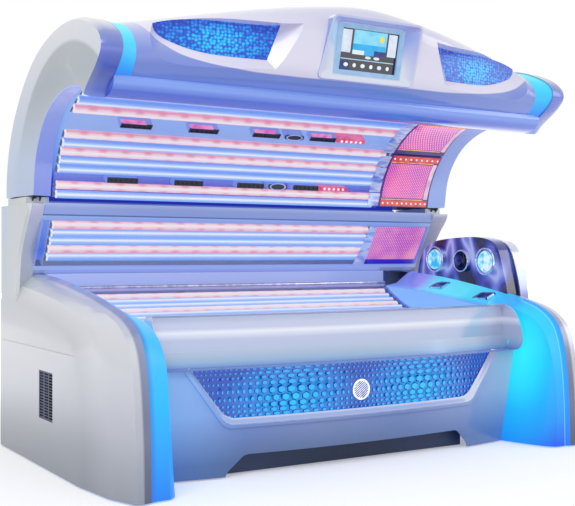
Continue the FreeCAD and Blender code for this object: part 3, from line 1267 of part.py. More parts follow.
vents, leds = [], []
for angle in VENT_ANGLES:
    for x in VENT_XS:
        vent = bar(x, VENT_BAR, VENT_W, 0.0, (face_r, seat_r))
        pitch = VENT_BAR / VENT_HOLES
        for k in range(VENT_HOLES):
            centre = x - VENT_BAR / 2 + pitch * (k + 0.5)
            slot = bar(centre, pitch * VENT_OPEN[0], VENT_W * VENT_OPEN[1], 0.0, (face_r - 1, seat_r + 1))
            vent = vent.cut(slot)
        vents.append(fitted(vent, angle))
        acrylic = acrylic.cut(fitted(bar(x, VENT_BAR, VENT_W, SEAT, (face_r, screen_back + 1)), angle))
    speaker = bar(SPEAKER_X, SPEAKER, VENT_W, 0.0, (face_r, seat_r), True)
    vents.append(fitted(speaker, angle))
    hole = bar(SPEAKER_X, SPEAKER, VENT_W, SEAT, (face_r, screen_back + 1), True)
    acrylic = acrylic.cut(fitted(hole, angle))
    leds.append(fitted(bar(LED_X, LED_BAR, LED_W, 0.0, (face_r, seat_r)), angle))
    acrylic = acrylic.cut(fitted(bar(LED_X, LED_BAR, LED_W, SEAT, (face_r, screen_back + 1)), angle))
save("canopy_vents_speakers", group(vents))
save("canopy_led_strips", group(leds))
save("canopy_screen", acrylic)

units = [
    arc_band(FACIAL_X, (SCREEN_R + FACIAL_BEAD, seat_r), angles) for angles in FACIAL_ANGLES
]
save("canopy_facial_tanners", group(units))


# ------------------------------------------------------------------ canopy frame, hinge, lift
plate_x0 = PLATE_X[0]
strip_share = (LAP_X - plate_x0) / (LAP_X - strip_x0)
plate_line = list(reversed(between(strip_outer, STRIP_IN_LINE, strip_share)))
plate_front = inset(plate_line, strip_t + PLATE_EASE)
plate_rear = inset(shell_line, COVER_T + SEAT)
plate_rear[-1] = (plate_rear[-1][0], ARM_BOTTOM)
plate_in = inset(arm_line_at(plate_x0), RIM_T + SEAT)
plate_in[0] = (plate_in[0][0], ARM_BOTTOM)
plate = side_slab(PLATE_X, plate_in, plate_front, plate_rear[1:])
plate = plate.cut(lip_room)

half_swing = math.radians(CANOPY_SWING / 2)
crank_y = HINGE_Y + CRANK * math.cos(half_swing)
crank_z = HINGE_Z - CRANK * math.sin(half_swing)
dy, dz = math.cos(half_swing) * CRANK_HALF, math.sin(half_swing) * CRANK_HALF
crank_line = [
    (HINGE_Y + dz, HINGE_Z + dy), (crank_y + dz, crank_z + dy),
    (crank_y - dz, crank_z - dy), (HINGE_Y - dz, HINGE_Z - dy),
]
lever = side_plate(LEVER_X, LEVER_LINE).fuse(rod_x(KNUCKLE_R, LEVER_X, HINGE_Y, HINGE_Z))
lever = lever.fuse(side_plate(LEVER_X, crank_line)).fuse(rod_x(CRANK_HALF, LEVER_X, crank_y, crank_z))
lever = lever.cut(rod_x(PIN_R + RUN, LEVER_X, HINGE_Y, HINGE_Z))
lever = lever.fuse(rod_x(LINK_PIN_R, (LINK_X[0] - LINK_PIN_PAST, LEVER_X[0]), crank_y, crank_z))
for stay_y, stay_z in LEVER_STAYS:
    lever = lever.fuse(box((PLATE_X[1], LEVER_X[0]), stay_y, stay_z))
side_frame = plate.fuse(lever)
skeleton = side_frame.fuse(mirrored(side_frame))
for angle in SPINE_ANGLES:
    y, z = on_arc(SPINE_R, angle)
    skeleton = skeleton.fuse(rod_x(SPINE_TUBE, (-PLATE_X[0], PLATE_X[0]), y, z))
save("canopy_frame", skeleton)

ear_low, ear_high = EAR_ROOT_Z
mast_y = FRAME_REAR_Y - SEAT
run_y, run_z = mast_y - HINGE_Y, ear_low - HINGE_Z
length = math.hypot(run_y, run_z)
ear_line = [
    (HINGE_Y + EAR_R * run_z / length, HINGE_Z - EAR_R * run_y / length), (mast_y, ear_low),
    (mast_y, ear_high), (HINGE_Y + EAR_R * math.sin(half_swing), HINGE_Z + EAR_R * math.cos(half_swing)),
]
bracket = box((EAR_X[0][0], EAR_X[1][1]), (mast_y - EAR_PLATE_T, mast_y), EAR_ROOT_Z)
for x in EAR_X:
    bracket = bracket.fuse(side_plate(x, ear_line)).fuse(rod_x(EAR_R, x, HINGE_Y, HINGE_Z))
bracket = bracket.fuse(rod_x(PIN_R, (EAR_X[0][0], EAR_X[1][1]), HINGE_Y, HINGE_Z))
save("hinge_brackets", group([bracket, mirrored(bracket)]))

# the lift: a rod slides up out of a cylinder; its slotted eye holds the crank pin
swing = 2 * half_swing
reach = CRANK * (1 - math.cos(half_swing))
lift_y = crank_y + reach / 2
stroke = 2 * CRANK * math.sin(half_swing)
slot_r = LINK_PIN_R + LINK_SLACK
slot_y = (crank_y - LINK_SLACK, crank_y + reach + LINK_SLACK)
eye_y = (slot_y[0] - slot_r - LINK_EDGE, slot_y[1] + slot_r + LINK_EDGE)
eye_z = (crank_z - slot_r - LINK_EDGE, crank_z + slot_r + LINK_EDGE)
rod = rod_z(ROD_R, LIFT_X, lift_y, (CYLINDER_Z[0] + CYLINDER_FLOOR + ROD_FOOT_GAP, eye_z[0] + ROD_LAP))
eye = box(LINK_X, eye_y, eye_z)
eye = eye.cut(box(LINK_X, slot_y, (crank_z - slot_r, crank_z + slot_r)))
for y in slot_y:
    eye = eye.cut(rod_x(slot_r, LINK_X, y, crank_z))
lift_rod = rod.fuse(eye)
save("lift_rods", group([lift_rod, mirrored(lift_rod)]))

cylinder = rod_z(CYLINDER_R, LIFT_X, lift_y, CYLINDER_Z)
for stay_z in CYLINDER_STAYS:
    stay_x = (MAST_X[0], LIFT_X + ROD_R + CYLINDER_STAY_PAST)
    cylinder = cylinder.fuse(box(stay_x, (lift_y, mast_y), stay_z))
bore_z = (CYLINDER_Z[0] + CYLINDER_FLOOR, CYLINDER_Z[1] + 1)
cylinder = cylinder.cut(rod_z(ROD_R + RUN, LIFT_X, lift_y, bore_z))
save("lift_cylinders", group([cylinder, mirrored(cylinder)]))
print("crank pin", round(crank_y, 2), round(crank_z, 2), "stroke", round(stroke, 3),
      "ratio m per rad", round(stroke / swing / 1000, 5), "rod y", round(lift_y, 2))


# ------------------------------------------------------------------ head-end console
ground = wing_outer.fuse(deck_solid(0.0, deck_x[0] - DECK_UNDER))
face_body = side_slab(CONSOLE_X, CONSOLE_LINE).cut(ground)
inner_x = (CONSOLE_X[0] + CONSOLE_WALL, CONSOLE_X[1] + 1)
face_body = face_body.cut(side_slab(inner_x, inset(CONSOLE_LINE, CONSOLE_WALL)))
hood_body = side_slab(HOOD_X, HOOD_LINE).cut(ground)
hood_room = (HOOD_X[0] - 1, HOOD_X[1] - CONSOLE_WALL)
hood_body = hood_body.cut(side_slab(hood_room, inset(HOOD_LINE, CONSOLE_WALL)))
for part in (face_body, hood_body):
    part.translate(V(0, 0, SEAT))

# each air nozzle is a ball that turns on an upright pin between the walls of its cup
nozzles = []
pocket_r = BALL_R + POCKET_GAP
collar_x = (COLLAR_TIP_X, CONSOLE_X[0] + CONSOLE_WALL)
clear = 2 * BALL_R  # more than the ball reaches, for the cutting tools
for y, z in NOZZLE_YZ:
    centre = V(BALL_X, y, z)
    cup = Part.makeSphere(pocket_r + CONSOLE_WALL, centre)
    cup = cup.common(box(CONSOLE_X, (y - clear, y + clear), (z - clear, z + clear)))
    collar = Part.makeCone(
        COLLAR_TIP_R, COLLAR_R, collar_x[1] - collar_x[0], V(collar_x[0], y, z), V(1, 0, 0)
    )
    face_body = face_body.fuse(cup).fuse(collar.cut(ground))
    face_body = face_body.cut(Part.makeSphere(pocket_r, centre))
    pin_half = BALL_R + PIVOT_REACH
    hole_half = pin_half + SEAT
    face_body = face_body.cut(rod_z(PIVOT_R + RUN, BALL_X, y, (z - hole_half, z + hole_half)))
    ball = Part.makeSphere(BALL_R, centre)
    front = (BALL_X - clear, NOZZLE_FACE_X)
    ball = ball.cut(box(front, (y - clear, y + clear), (z - clear, z + clear)))
    ball = ball.cut(rod_x(NOZZLE_BORE, (front[0], BALL_X + NOZZLE_WELL), y, z))
    vane_x = (NOZZLE_FACE_X + VANE_BACK, BALL_X)
    half_t = VANE_T / 2
    level = box(vane_x, (y - NOZZLE_BORE, y + NOZZLE_BORE), (z - half_t, z + half_t))
    upright = box(vane_x, (y - half_t, y + half_t), (z - NOZZLE_BORE, z + NOZZLE_BORE))
    pin = rod_z(PIVOT_R, BALL_X, y, (z - pin_half, z + pin_half))
    nozzles.append(ball.fuse(level).fuse(upright).fuse(pin))
save("right_air_nozzle", nozzles[0])
save("left_air_nozzle", nozzles[1])

fan_y, fan_z = FAN_YZ
fan_x = (CONSOLE_X[0], CONSOLE_X[0] + FAN_DEPTH)
well_r = FAN_R + FAN_TIP_GAP
well_front = fan_x[0] - FAN_PROUD
well = rod_x(well_r + CONSOLE_WALL, (well_front, fan_x[1] + CONSOLE_WALL), fan_y, fan_z)
face_body = face_body.fuse(well).cut(rod_x(well_r, (well_front - 1, fan_x[1]), fan_y, fan_z))
axle_x = (fan_x[0] + FAN_AXLE_BACK, fan_x[1] + 1)
face_body = face_body.fuse(rod_x(FAN_AXLE_R, axle_x, fan_y, fan_z))
save("console_face", face_body)
save("console_hood", hood_body)
hub_x = (fan_x[0] + FAN_HUB_BACK, fan_x[1] - SEAT)
rotor = rod_x(FAN_HUB_R, hub_x, fan_y, fan_z)
blade_x = (hub_x[0] + FAN_HUB_BACK, hub_x[1] - FAN_AXLE_BACK)
for k in range(FAN_BLADES):
    blade = box(blade_x, (FAN_HUB_R - FAN_BLADE_T / 2, FAN_R), (-FAN_BLADE_T / 2, FAN_BLADE_T / 2))
    blade.rotate(V((hub_x[0] + hub_x[1]) / 2, 0, 0), V(0, 1, 0), FAN_PITCH)
    blade.rotate(V(0, 0, 0), V(1, 0, 0), 360.0 * k / FAN_BLADES)
    blade.translate(V(0, fan_y, fan_z))
    rotor = rotor.fuse(blade)
rotor = rotor.cut(rod_x(FAN_AXLE_R + RUN, axle_x, fan_y, fan_z))
save("console_fan_rotor", rotor)
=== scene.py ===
# %% [markdown]
# # Dressing a lay-down sunbed
#
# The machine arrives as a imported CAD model: shells, lamps, acrylic, hinge and frame, every
# piece where it belongs. This lesson gives it its looks: pearl mouldings, lit plastic, lamps
# under acrylic, chrome, a small display. Everything is in metres, +X runs to the head end,
# -Y is the front and +Z is up, so a piece goes where the CAD says.

# %% Load the frame
import json
import math

import bmesh
import bpy
from mathutils import Matrix, Vector

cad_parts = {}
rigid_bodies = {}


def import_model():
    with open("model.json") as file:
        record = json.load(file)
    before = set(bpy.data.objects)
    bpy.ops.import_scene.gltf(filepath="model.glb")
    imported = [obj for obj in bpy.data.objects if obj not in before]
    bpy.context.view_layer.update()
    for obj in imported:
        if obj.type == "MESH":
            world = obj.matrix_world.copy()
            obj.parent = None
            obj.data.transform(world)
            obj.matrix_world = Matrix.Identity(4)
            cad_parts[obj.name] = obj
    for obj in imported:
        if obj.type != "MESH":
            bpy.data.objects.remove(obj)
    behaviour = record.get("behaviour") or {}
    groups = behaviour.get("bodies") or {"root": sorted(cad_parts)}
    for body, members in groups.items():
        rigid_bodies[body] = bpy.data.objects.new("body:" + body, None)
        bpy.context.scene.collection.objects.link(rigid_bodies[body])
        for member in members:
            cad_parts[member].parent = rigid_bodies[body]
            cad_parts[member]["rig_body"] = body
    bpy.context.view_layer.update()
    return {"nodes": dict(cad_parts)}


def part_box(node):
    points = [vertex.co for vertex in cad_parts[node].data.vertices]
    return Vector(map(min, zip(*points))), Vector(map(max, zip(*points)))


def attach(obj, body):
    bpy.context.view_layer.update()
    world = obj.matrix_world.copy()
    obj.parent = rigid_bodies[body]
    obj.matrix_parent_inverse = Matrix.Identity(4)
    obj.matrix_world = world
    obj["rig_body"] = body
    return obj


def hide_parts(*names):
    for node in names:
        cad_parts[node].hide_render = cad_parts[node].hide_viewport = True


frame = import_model()

# %% [markdown]
# ## The camera
# A bed is looked at from standing height in front of its foot end. The camera is level, so
# the uprights stay upright, and a fairly long lens keeps the far end from shrinking.

# %% Place the camera
CAMERA_AT = (-2.5637, -4.0883, 0.8931)
CAMERA_TURN = math.radians(31.544)
CAMERA_LIFT = math.radians(0.13)
LENS = 64.05

camera_data = bpy.data.cameras.new("camera")
camera_data.lens = LENS
camera_data.sensor_width = 36.0
camera = bpy.data.objects.new("camera", camera_data)
camera.location = CAMERA_AT
camera.rotation_euler = (math.pi / 2 + CAMERA_LIFT, 0.0, -CAMERA_TURN)
bpy.context.collection.objects.link(camera)
bpy.context.scene.camera = camera
print("camera", tuple(camera.location), "lens", LENS)

# %% [markdown]
# ## Painting tools
# Every finish is a Principled shader with a few nodes around it. Small helpers cover most of
# what a moulded machine needs: a colour as a maker reads it off a fan deck, a new shader, a
# ramp along an axis of the object, a mix of two colours, and a fine bump for the gloss.

# %% Shader helpers
def tone(code):
    """Display colour such as #A9AFBB as the linear numbers that a shader wants."""
    parts = [int(code[i:i + 2], 16) / 255 for i in (1, 3, 5)]
    return tuple(c / 12.92 if c <= 0.04045 else ((c + 0.055) / 1.055) ** 2.4 for c in parts)


def new_finish(name, colour, roughness, metallic=0.0, coat=0.0):
    paint = bpy.data.materials.new(name)
    paint.use_nodes = True
    shader = paint.node_tree.nodes["Principled BSDF"]
    shader.inputs["Base Color"].default_value = (*tone(colour), 1)
    shader.inputs["Roughness"].default_value = roughness
    shader.inputs["Metallic"].default_value = metallic
    shader.inputs["Coat Weight"].default_value = coat
    shader.inputs["Coat Roughness"].default_value = 0.08
    return paint


def shader_of(paint):
    return paint.node_tree.nodes["Principled BSDF"]


def node(paint, kind, **settings):
    made = paint.node_tree.nodes.new("ShaderNode" + kind)
    for key, value in settings.items():
        setattr(made, key, value)
    return made


def wire(paint, start, end):
    paint.node_tree.links.new(start, end)


def feed(paint, value, socket):
    """Joins a socket to another, or writes a number or colour on it."""
    if isinstance(value, bpy.types.NodeSocket):
        wire(paint, value, socket)
    else:
        socket.default_value = value


def sums(paint, how, first, second=0.0, third=0.0):
    """One arithmetic step, such as ADD or MULTIPLY, on numbers that vary over a piece."""
    step = node(paint, "Math", operation=how)
    for value, socket in zip((first, second, third), step.inputs):
        feed(paint, value, socket)
    return step.outputs[0]


def spread(paint, value, low, high):
    """Zero at low, one at high, clamped."""
    span = node(paint, "MapRange")
    span.inputs["From Min"].default_value = low
    span.inputs["From Max"].default_value = high
    wire(paint, value, span.inputs["Value"])
    return span.outputs["Result"]


def place_of(paint, axis):
    """The x, y or z of the point on the piece, in metres."""
    split = node(paint, "SeparateXYZ")
    wire(paint, node(paint, "TexCoord").outputs["Object"], split.inputs[0])
    return split.outputs["XYZ".index(axis)]


def along(paint, axis, low, high, mirrored=False):
    """Zero at low and one at high along an axis; mirrored treats both ends alike."""
    value = place_of(paint, axis)
    if mirrored:
        value = sums(paint, "ABSOLUTE", value)
    return spread(paint, value, low, high)


def facing(paint, direction):
    """One where the surface faces a direction, zero at a right angle, minus one behind."""
    dot = node(paint, "VectorMath", operation="DOT_PRODUCT")
    wire(paint, node(paint, "TexCoord").outputs["Normal"], dot.inputs[0])
    dot.inputs[1].default_value = direction
    return dot.outputs["Value"]


def nearness(paint, centre, reach, mirrored=False):
    """Zero at a centre, one at its reach; a reach of zero leaves that axis out."""
    value = node(paint, "TexCoord").outputs["Object"]
    if mirrored:
        fold = node(paint, "VectorMath", operation="ABSOLUTE")
        wire(paint, value, fold.inputs[0])
        value = fold.outputs["Vector"]
    scale = [1 / r if r else 0.0 for r in reach]
    turn = node(paint, "Mapping")
    turn.inputs["Scale"].default_value = scale
    turn.inputs["Location"].default_value = [-c * s for c, s in zip(centre, scale)]
    wire(paint, value, turn.inputs["Vector"])
    length = node(paint, "VectorMath", operation="LENGTH")
    wire(paint, turn.outputs["Vector"], length.inputs[0])
    return length.outputs["Value"]


def shades(paint, factor, stops):
    """Colours by factor; stops are (place, "#RRGGBB")."""
    ramp = node(paint, "ValToRGB")
    band = ramp.color_ramp
    while len(band.elements) < len(stops):
        band.elements.new(0.5)
    for element, (place, colour) in zip(band.elements, stops):
        element.position = place
        element.color = (*tone(colour), 1)
    wire(paint, factor, ramp.inputs["Fac"])
    return ramp.outputs["Color"]


def mixed(paint, factor, first, second):
    """From the first colour to the second by a factor."""
    blend = node(paint, "Mix", data_type="RGBA")
    wire(paint, factor, blend.inputs[0])
    for value, socket in ((first, blend.inputs[6]), (second, blend.inputs[7])):
        feed(paint, (*tone(value), 1) if isinstance(value, str) else value, socket)
    return blend.outputs[2]


def mottle(paint, scale, detail=3.0, stretch=(1, 1, 1)):
    """Cloudy noise fixed to the piece."""
    turn = node(paint, "Mapping")
    turn.inputs["Scale"].default_value = stretch
    wire(paint, node(paint, "TexCoord").outputs["Object"], turn.inputs["Vector"])
    cloud = node(paint, "TexNoise")
    cloud.inputs["Scale"].default_value = scale
    cloud.inputs["Detail"].default_value = detail
    wire(paint, turn.outputs["Vector"], cloud.inputs["Vector"])
    return cloud.outputs["Fac"]


def grain(paint, scale, height):
    """A fine unevenness of the surface, height in metres."""
    bump = node(paint, "Bump")
    bump.inputs["Distance"].default_value = height
    bump.inputs["Strength"].default_value = 0.6
    wire(paint, mottle(paint, scale), bump.inputs["Height"])
    wire(paint, bump.outputs["Normal"], shader_of(paint).inputs["Normal"])


def tint(paint, colour, light=0.0):
    """Colours the surface; with light it glows in that colour and reflects the less."""
    shader = shader_of(paint)
    if not light:
        wire(paint, colour, shader.inputs["Base Color"])
        return
    dimmed = node(paint, "VectorMath", operation="SCALE")
    wire(paint, colour, dimmed.inputs[0])
    dimmed.inputs["Scale"].default_value = 1.0 - light
    wire(paint, dimmed.outputs["Vector"], shader.inputs["Base Color"])
    wire(paint, colour, shader.inputs["Emission Color"])
    shader.inputs["Emission Strength"].default_value = light


print("shader helpers ready")

# %% [markdown]
# ## Floor, room and lamps of the studio
# A pale floor and a white room, bright for the camera and for reflections but softer as a
# light, so that pale plastic keeps its tone. Away from the machine the floor brightens until
# it meets the room with no horizon. Two large soft lamps give the shells long highlights.

# %% Build the studio
bpy.context.scene.view_settings.view_transform = "Standard"
FLOOR_SIZE = 40.0
ROOM_LIGHT = 0.60
floor_bm = bmesh.new()
bmesh.ops.create_grid(floor_bm, x_segments=1, y_segments=1, size=FLOOR_SIZE / 2)
floor_mesh = bpy.data.meshes.new("studio_floor")
floor_bm.to_mesh(floor_mesh)
floor_bm.free()
floor = bpy.data.objects.new("studio_floor", floor_mesh)
bpy.context.collection.objects.link(floor)


def seen_directly(paint):
    """One where a ray comes from the camera, a mirror or through glass, else zero."""
    path = paint.node_tree.nodes.new("ShaderNodeLightPath")
    total = path.outputs["Is Camera Ray"]
    for name in ("Is Glossy Ray", "Is Transmission Ray"):
        total = sums(paint, "MAXIMUM", total, path.outputs[name])
    return total


floor_paint = new_finish("studio_floor", "#EDEDF0", 0.9)
shader_of(floor_paint).inputs["Specular IOR Level"].default_value = 0.1
shader_of(floor_paint).inputs["Emission Color"].default_value = (1, 1, 1, 1)
far = spread(floor_paint, nearness(floor_paint, (0, 0, 0), (1, 1, 0)), 1.7, 3.4)
lift = sums(floor_paint, "MULTIPLY_ADD", far, 0.65, 0.34)
wire(floor_paint, sums(floor_paint, "MULTIPLY", lift, seen_directly(floor_paint)),
    shader_of(floor_paint).inputs["Emission Strength"])
floor_mesh.materials.append(floor_paint)

room = bpy.data.worlds.new("studio_room")
bpy.context.scene.world = room
room.use_nodes = True
air = room.node_tree.nodes["Background"]
air.inputs["Color"].default_value = (1, 1, 1, 1)
seen = sums(room, "MULTIPLY_ADD", seen_directly(room), 1.0 - ROOM_LIGHT, ROOM_LIGHT)
wire(room, seen, air.inputs["Strength"])


def soft_lamp(name, place, aim, size, power):
    """A rectangular lamp that looks at a point."""
    data = bpy.data.lights.new(name, "AREA")
    data.shape = "RECTANGLE"
    data.size, data.size_y = size
    data.energy = power
    lamp = bpy.data.objects.new(name, data)
    lamp.location = place
    lamp.rotation_euler = (Vector(aim) - Vector(place)).to_track_quat("-Z", "Y").to_euler()
    bpy.context.collection.objects.link(lamp)


soft_lamp("key_lamp", (-3.6, -3.6, 4.2), (0, 0, 0.9), (3.0, 2.0), 95)
soft_lamp("fill_lamp", (4.2, -3.2, 2.8), (0, 0, 0.8), (2.4, 2.4), 40)
print("studio ready")

# %% [markdown]
# ## A smooth skin for a CAD piece
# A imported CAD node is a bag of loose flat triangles. Its copy is merged into one surface,
# shaded smooth and creased at its real edges, and stands in for the node.

# %% Skin helper
CREASE = 28.0
MERGE = 0.00002


def finished(name, mesh, paint, body, crease=CREASE):
    """Makes an object of a mesh, in its finish, and lets it ride on a body."""
    mesh.shade_smooth()
    mesh.set_sharp_from_angle(angle=math.radians(crease))
    mesh.materials.clear()
    mesh.materials.append(paint)
    made = bpy.data.objects.new(name, mesh)
    bpy.context.collection.objects.link(made)
    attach(made, body)
    return made


def dress(name, paint):
    """Replaces a CAD node by its merged, smooth copy in the given finish."""
    source = frame["nodes"][name]
    surface = bmesh.new()
    surface.from_mesh(source.data)
    bmesh.ops.remove_doubles(surface, verts=surface.verts, dist=MERGE)
    mesh = bpy.data.meshes.new(name + "_skin")
    surface.to_mesh(mesh)
    surface.free()
    if "custom_normal" in mesh.attributes:
        mesh.attributes.remove(mesh.attributes["custom_normal"])
    skin = finished(name + "_skin", mesh, paint, source["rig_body"])
    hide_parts(name)


def dress_all(names, paint):
    for name in names:
        dress(name, paint)
    print(paint.name, "on", len(names), "pieces")


def piece(name, surface, paint, body, crease=CREASE):
    """Turns a finished bmesh into a piece of its own."""
    bmesh.ops.recalc_face_normals(surface, faces=surface.faces)
    mesh = bpy.data.meshes.new(name)
    surface.to_mesh(mesh)
    surface.free()
    finished(name, mesh, paint, body, crease)
    print(name, len(mesh.polygons), "faces")


def block(surface, low, high, turn=Matrix()):
    """Adds a box between two corners; turn places it."""
    middle = (Vector(low) + Vector(high)) / 2
    size = Vector(high) - Vector(low)
    where = turn @ Matrix.Translation(middle) @ Matrix.Diagonal((*size, 1))
    return bmesh.ops.create_cube(surface, size=1.0, matrix=where)["verts"]


def dot(surface, middle, radius):
    """Adds a small lamp bead."""
    bmesh.ops.create_uvsphere(surface, u_segments=8, v_segments=5, radius=radius,
        matrix=Matrix.Translation(middle))


def join(part, surface):
    """Moves the faces of one bmesh into another."""
    loose = bpy.data.meshes.new("loose")
    part.to_mesh(loose)
    part.free()
    surface.from_mesh(loose)
    bpy.data.meshes.remove(loose)


def ring(surface, middle, radius, wall):
    """Adds a round bar bent into a ring about the x direction."""
    part = bmesh.new()
    where = Matrix.Translation((0, radius, 0))
    bar = bmesh.ops.create_circle(part, segments=10, radius=wall, matrix=where)["verts"]
    bmesh.ops.spin(part, geom=bar + part.edges[:], axis=(1, 0, 0), angle=math.tau, steps=48, use_merge=True)
    bmesh.ops.translate(part, vec=middle, verts=part.verts)
    join(part, surface)


print("piece helpers ready")

# %% [markdown]
# ## Pearl mouldings
# The big shells are moulded plastic under a pearl lacquer: a pale silver with a trace of
# lilac, with a clear coat for the highlights; painted shade makes them greyer low down. The
# wing's edge is a soft step: a painted dark line of shade beside the lit plastic, then a pale
# bevel with a painted highlight, then the broad side. Near the rear and on the inner wall the
# blue light inside the machine is painted in.

# %% Pearl silver
pearl = new_finish("pearl_silver", "#D2D4DB", 0.34, metallic=0.2, coat=0.5)
# Painted shade: the side greyer low down, as the dark floor shows in it.
side_painted_shade = shades(pearl, along(pearl, "Z", 0.0, 0.8), [
    (0.0, "#858C98"), (0.18, "#969DA8"), (0.4, "#B4B8C2"), (0.7, "#C9CBD2"), (1.0, "#CBD0D4")])
# Painted shade and highlight on the wing's edge: a dark band beside the lit plastic, a pale bevel.
bevel_painted_shade = shades(pearl, along(pearl, "Z", 0.0, 0.8), [
    (0.0, "#5A6078"), (0.4, "#757C97"), (0.8, "#9AA4C4"), (1.0, "#A9B6DA")])
bevel_painted_highlight = shades(pearl, along(pearl, "Z", 0.0, 0.8), [
    (0.0, "#9AA0AC"), (0.35, "#B9BDC8"), (0.7, "#DADCE2"), (1.0, "#E2E4EA")])
inner_step = along(pearl, "X", 1.086, 1.096, mirrored=True)
outer_step = along(pearl, "X", 1.168, 1.190, mirrored=True)
front_only = along(pearl, "Y", 0.30, 0.45)
wing_painted_light = mixed(pearl, outer_step, mixed(pearl, inner_step, bevel_painted_shade, bevel_painted_highlight), side_painted_shade)
wing_painted_light = mixed(pearl, front_only, wing_painted_light, side_painted_shade)
# Painted light: the blue of the lamps near the rear and on the inner wall above the bench.
rear_blue = sums(pearl, "MULTIPLY", along(pearl, "Y", 0.50, 0.74), along(pearl, "Z", 0.55, 1.0))
wing_painted_light = mixed(pearl, sums(pearl, "MULTIPLY", rear_blue, 0.6), wing_painted_light, "#A9CBF0")
inner_wall = sums(pearl, "SUBTRACT", 1.0, along(pearl, "X", 1.066, 1.072, mirrored=True))
inner_wall = sums(pearl, "MULTIPLY", inner_wall, along(pearl, "Z", 0.68, 0.76))
tint(pearl, mixed(pearl, inner_wall, wing_painted_light, "#94AEF2"))
grain(pearl, 900.0, 0.00006)
dress_all(["right_side_shell", "left_side_shell"], pearl)

hood_silver = new_finish("hood_silver", "#B9C2E0", 0.22, metallic=0.4, coat=0.6)
# Painted shade: the hood darker towards the bottom, paler at the top.
tint(hood_silver, shades(hood_silver, along(hood_silver, "Z", 0.66, 0.97), [
    (0.0, "#8E94C4"), (0.45, "#AFBBE0"), (0.8, "#C9D0E8"), (1.0, "#E4E6F2")]))
grain(hood_silver, 900.0, 0.00004)
dress_all(["console_hood"], hood_silver)

# %% [markdown]
# ## Canopy caps
# The caps close the canopy at both ends. Their outer side is the same pearl, painted bluer and
# darker towards the bottom as shade, with a darker painted band of shade where the hooked recess
# lies; the narrow facet that turns in towards the lamps has their light painted on and reads
# violet blue.

# %% Canopy caps and back
cap_pearl = new_finish("canopy_pearl", "#D6D9E2", 0.30, metallic=0.2, coat=0.5)
# Painted shade: the outer side bluer and darker towards the bottom.
cap_side = shades(cap_pearl, along(cap_pearl, "Z", 1.15, 1.85), [
    (0.0, "#B4C6E6"), (0.25, "#BACCE6"), (0.6, "#CBD3E2"), (0.85, "#DADDE6"), (1.0, "#E6E7EE")])
cap_face = shades(cap_pearl, along(cap_pearl, "Z", 1.15, 1.85), [
    (0.0, "#93A9EE"), (0.5, "#8398E8"), (0.60, "#4A5FCC"), (0.72, "#6677CC"), (0.85, "#8E9BD0"),
    (1.0, "#C4CCE4")])
# Painted light: the facet turned towards the lamps takes their violet blue.
cap_turn = spread(cap_pearl, facing(cap_pearl, (0, -1, 0)), 0.30, 0.62)
cap_lit = along(cap_pearl, "X", 1.112, 1.120, mirrored=True)
cap_turn = sums(cap_pearl, "MAXIMUM", cap_turn, sums(cap_pearl, "SUBTRACT", 1.0, cap_lit))
# Painted shade: a darker band where the hooked recess in the side lies.
hook_recess_shade = spread(cap_pearl, nearness(cap_pearl, (0, -0.152, 1.076), (0, 1, 1)), 0.672, 0.655)
hook_recess_shade = sums(cap_pearl, "MULTIPLY", hook_recess_shade, along(cap_pearl, "Z", 1.30, 1.60))
cap_side = mixed(cap_pearl, sums(cap_pearl, "MULTIPLY", hook_recess_shade, 0.8), cap_side, "#939EA8")
tint(cap_pearl, mixed(cap_pearl, cap_turn, cap_side, cap_face))
grain(cap_pearl, 900.0, 0.00006)
dress_all(["right_end_cap", "left_end_cap"], cap_pearl)

back_pearl = new_finish("back_pearl", "#C4C9D6", 0.36, metallic=0.2, coat=0.4)
# Painted shade: the back darker towards the bottom.
tint(back_pearl, shades(back_pearl, along(back_pearl, "Z", 0.1, 1.8), [(0.0, "#A4AAB8"), (1.0, "#D2D5DE")]))
grain(back_pearl, 900.0, 0.00006)
dress_all(["canopy_shell", "rear_cover"], back_pearl)

# %% [markdown]
# ## Lit wings
# The wings are translucent plastic with lamps inside. The lamp sits behind the middle of the
# horn, so the colour runs in rings from cyan there to deep blue at the edges, as a lampshade
# does. A thin painted highlight marks the crease along the outer edge.

# %% Wing lights
wing_light = new_finish("wing_light", "#1BA5FA", 0.4, coat=0.05)
wing_rings = shades(wing_light, nearness(wing_light, (0, -0.52, 0.42), (0, 0.32, 0.50)), [
    (0.0, "#2CF2FF"), (0.30, "#20DCFF"), (0.55, "#14B4FD"), (0.80, "#1094F8"), (1.0, "#145CF0")])
# Painted highlight: a thin pale line along the crease near the outer edge.
crease_highlight = shades(wing_light, along(wing_light, "X", 1.020, 1.060, mirrored=True), [
    (0.0, "#000000"), (0.22, "#000000"), (0.30, "#8FE6FF"), (0.38, "#000000"), (1.0, "#000000")])
crease_highlight_mask = node(wing_light, "RGBToBW")
wire(wing_light, crease_highlight, crease_highlight_mask.inputs[0])
rim_blue = along(wing_light, "X", 1.032, 1.044, mirrored=True)
wing_colour = mixed(wing_light, sums(wing_light, "MULTIPLY", rim_blue, 0.6), wing_rings, "#0C88F6")
tint(wing_light, mixed(wing_light, crease_highlight_mask.outputs[0], wing_colour, "#9BE8FF"), light=0.9)
grain(wing_light, 700.0, 0.00004)
dress_all(["right_wing_light"], wing_light)

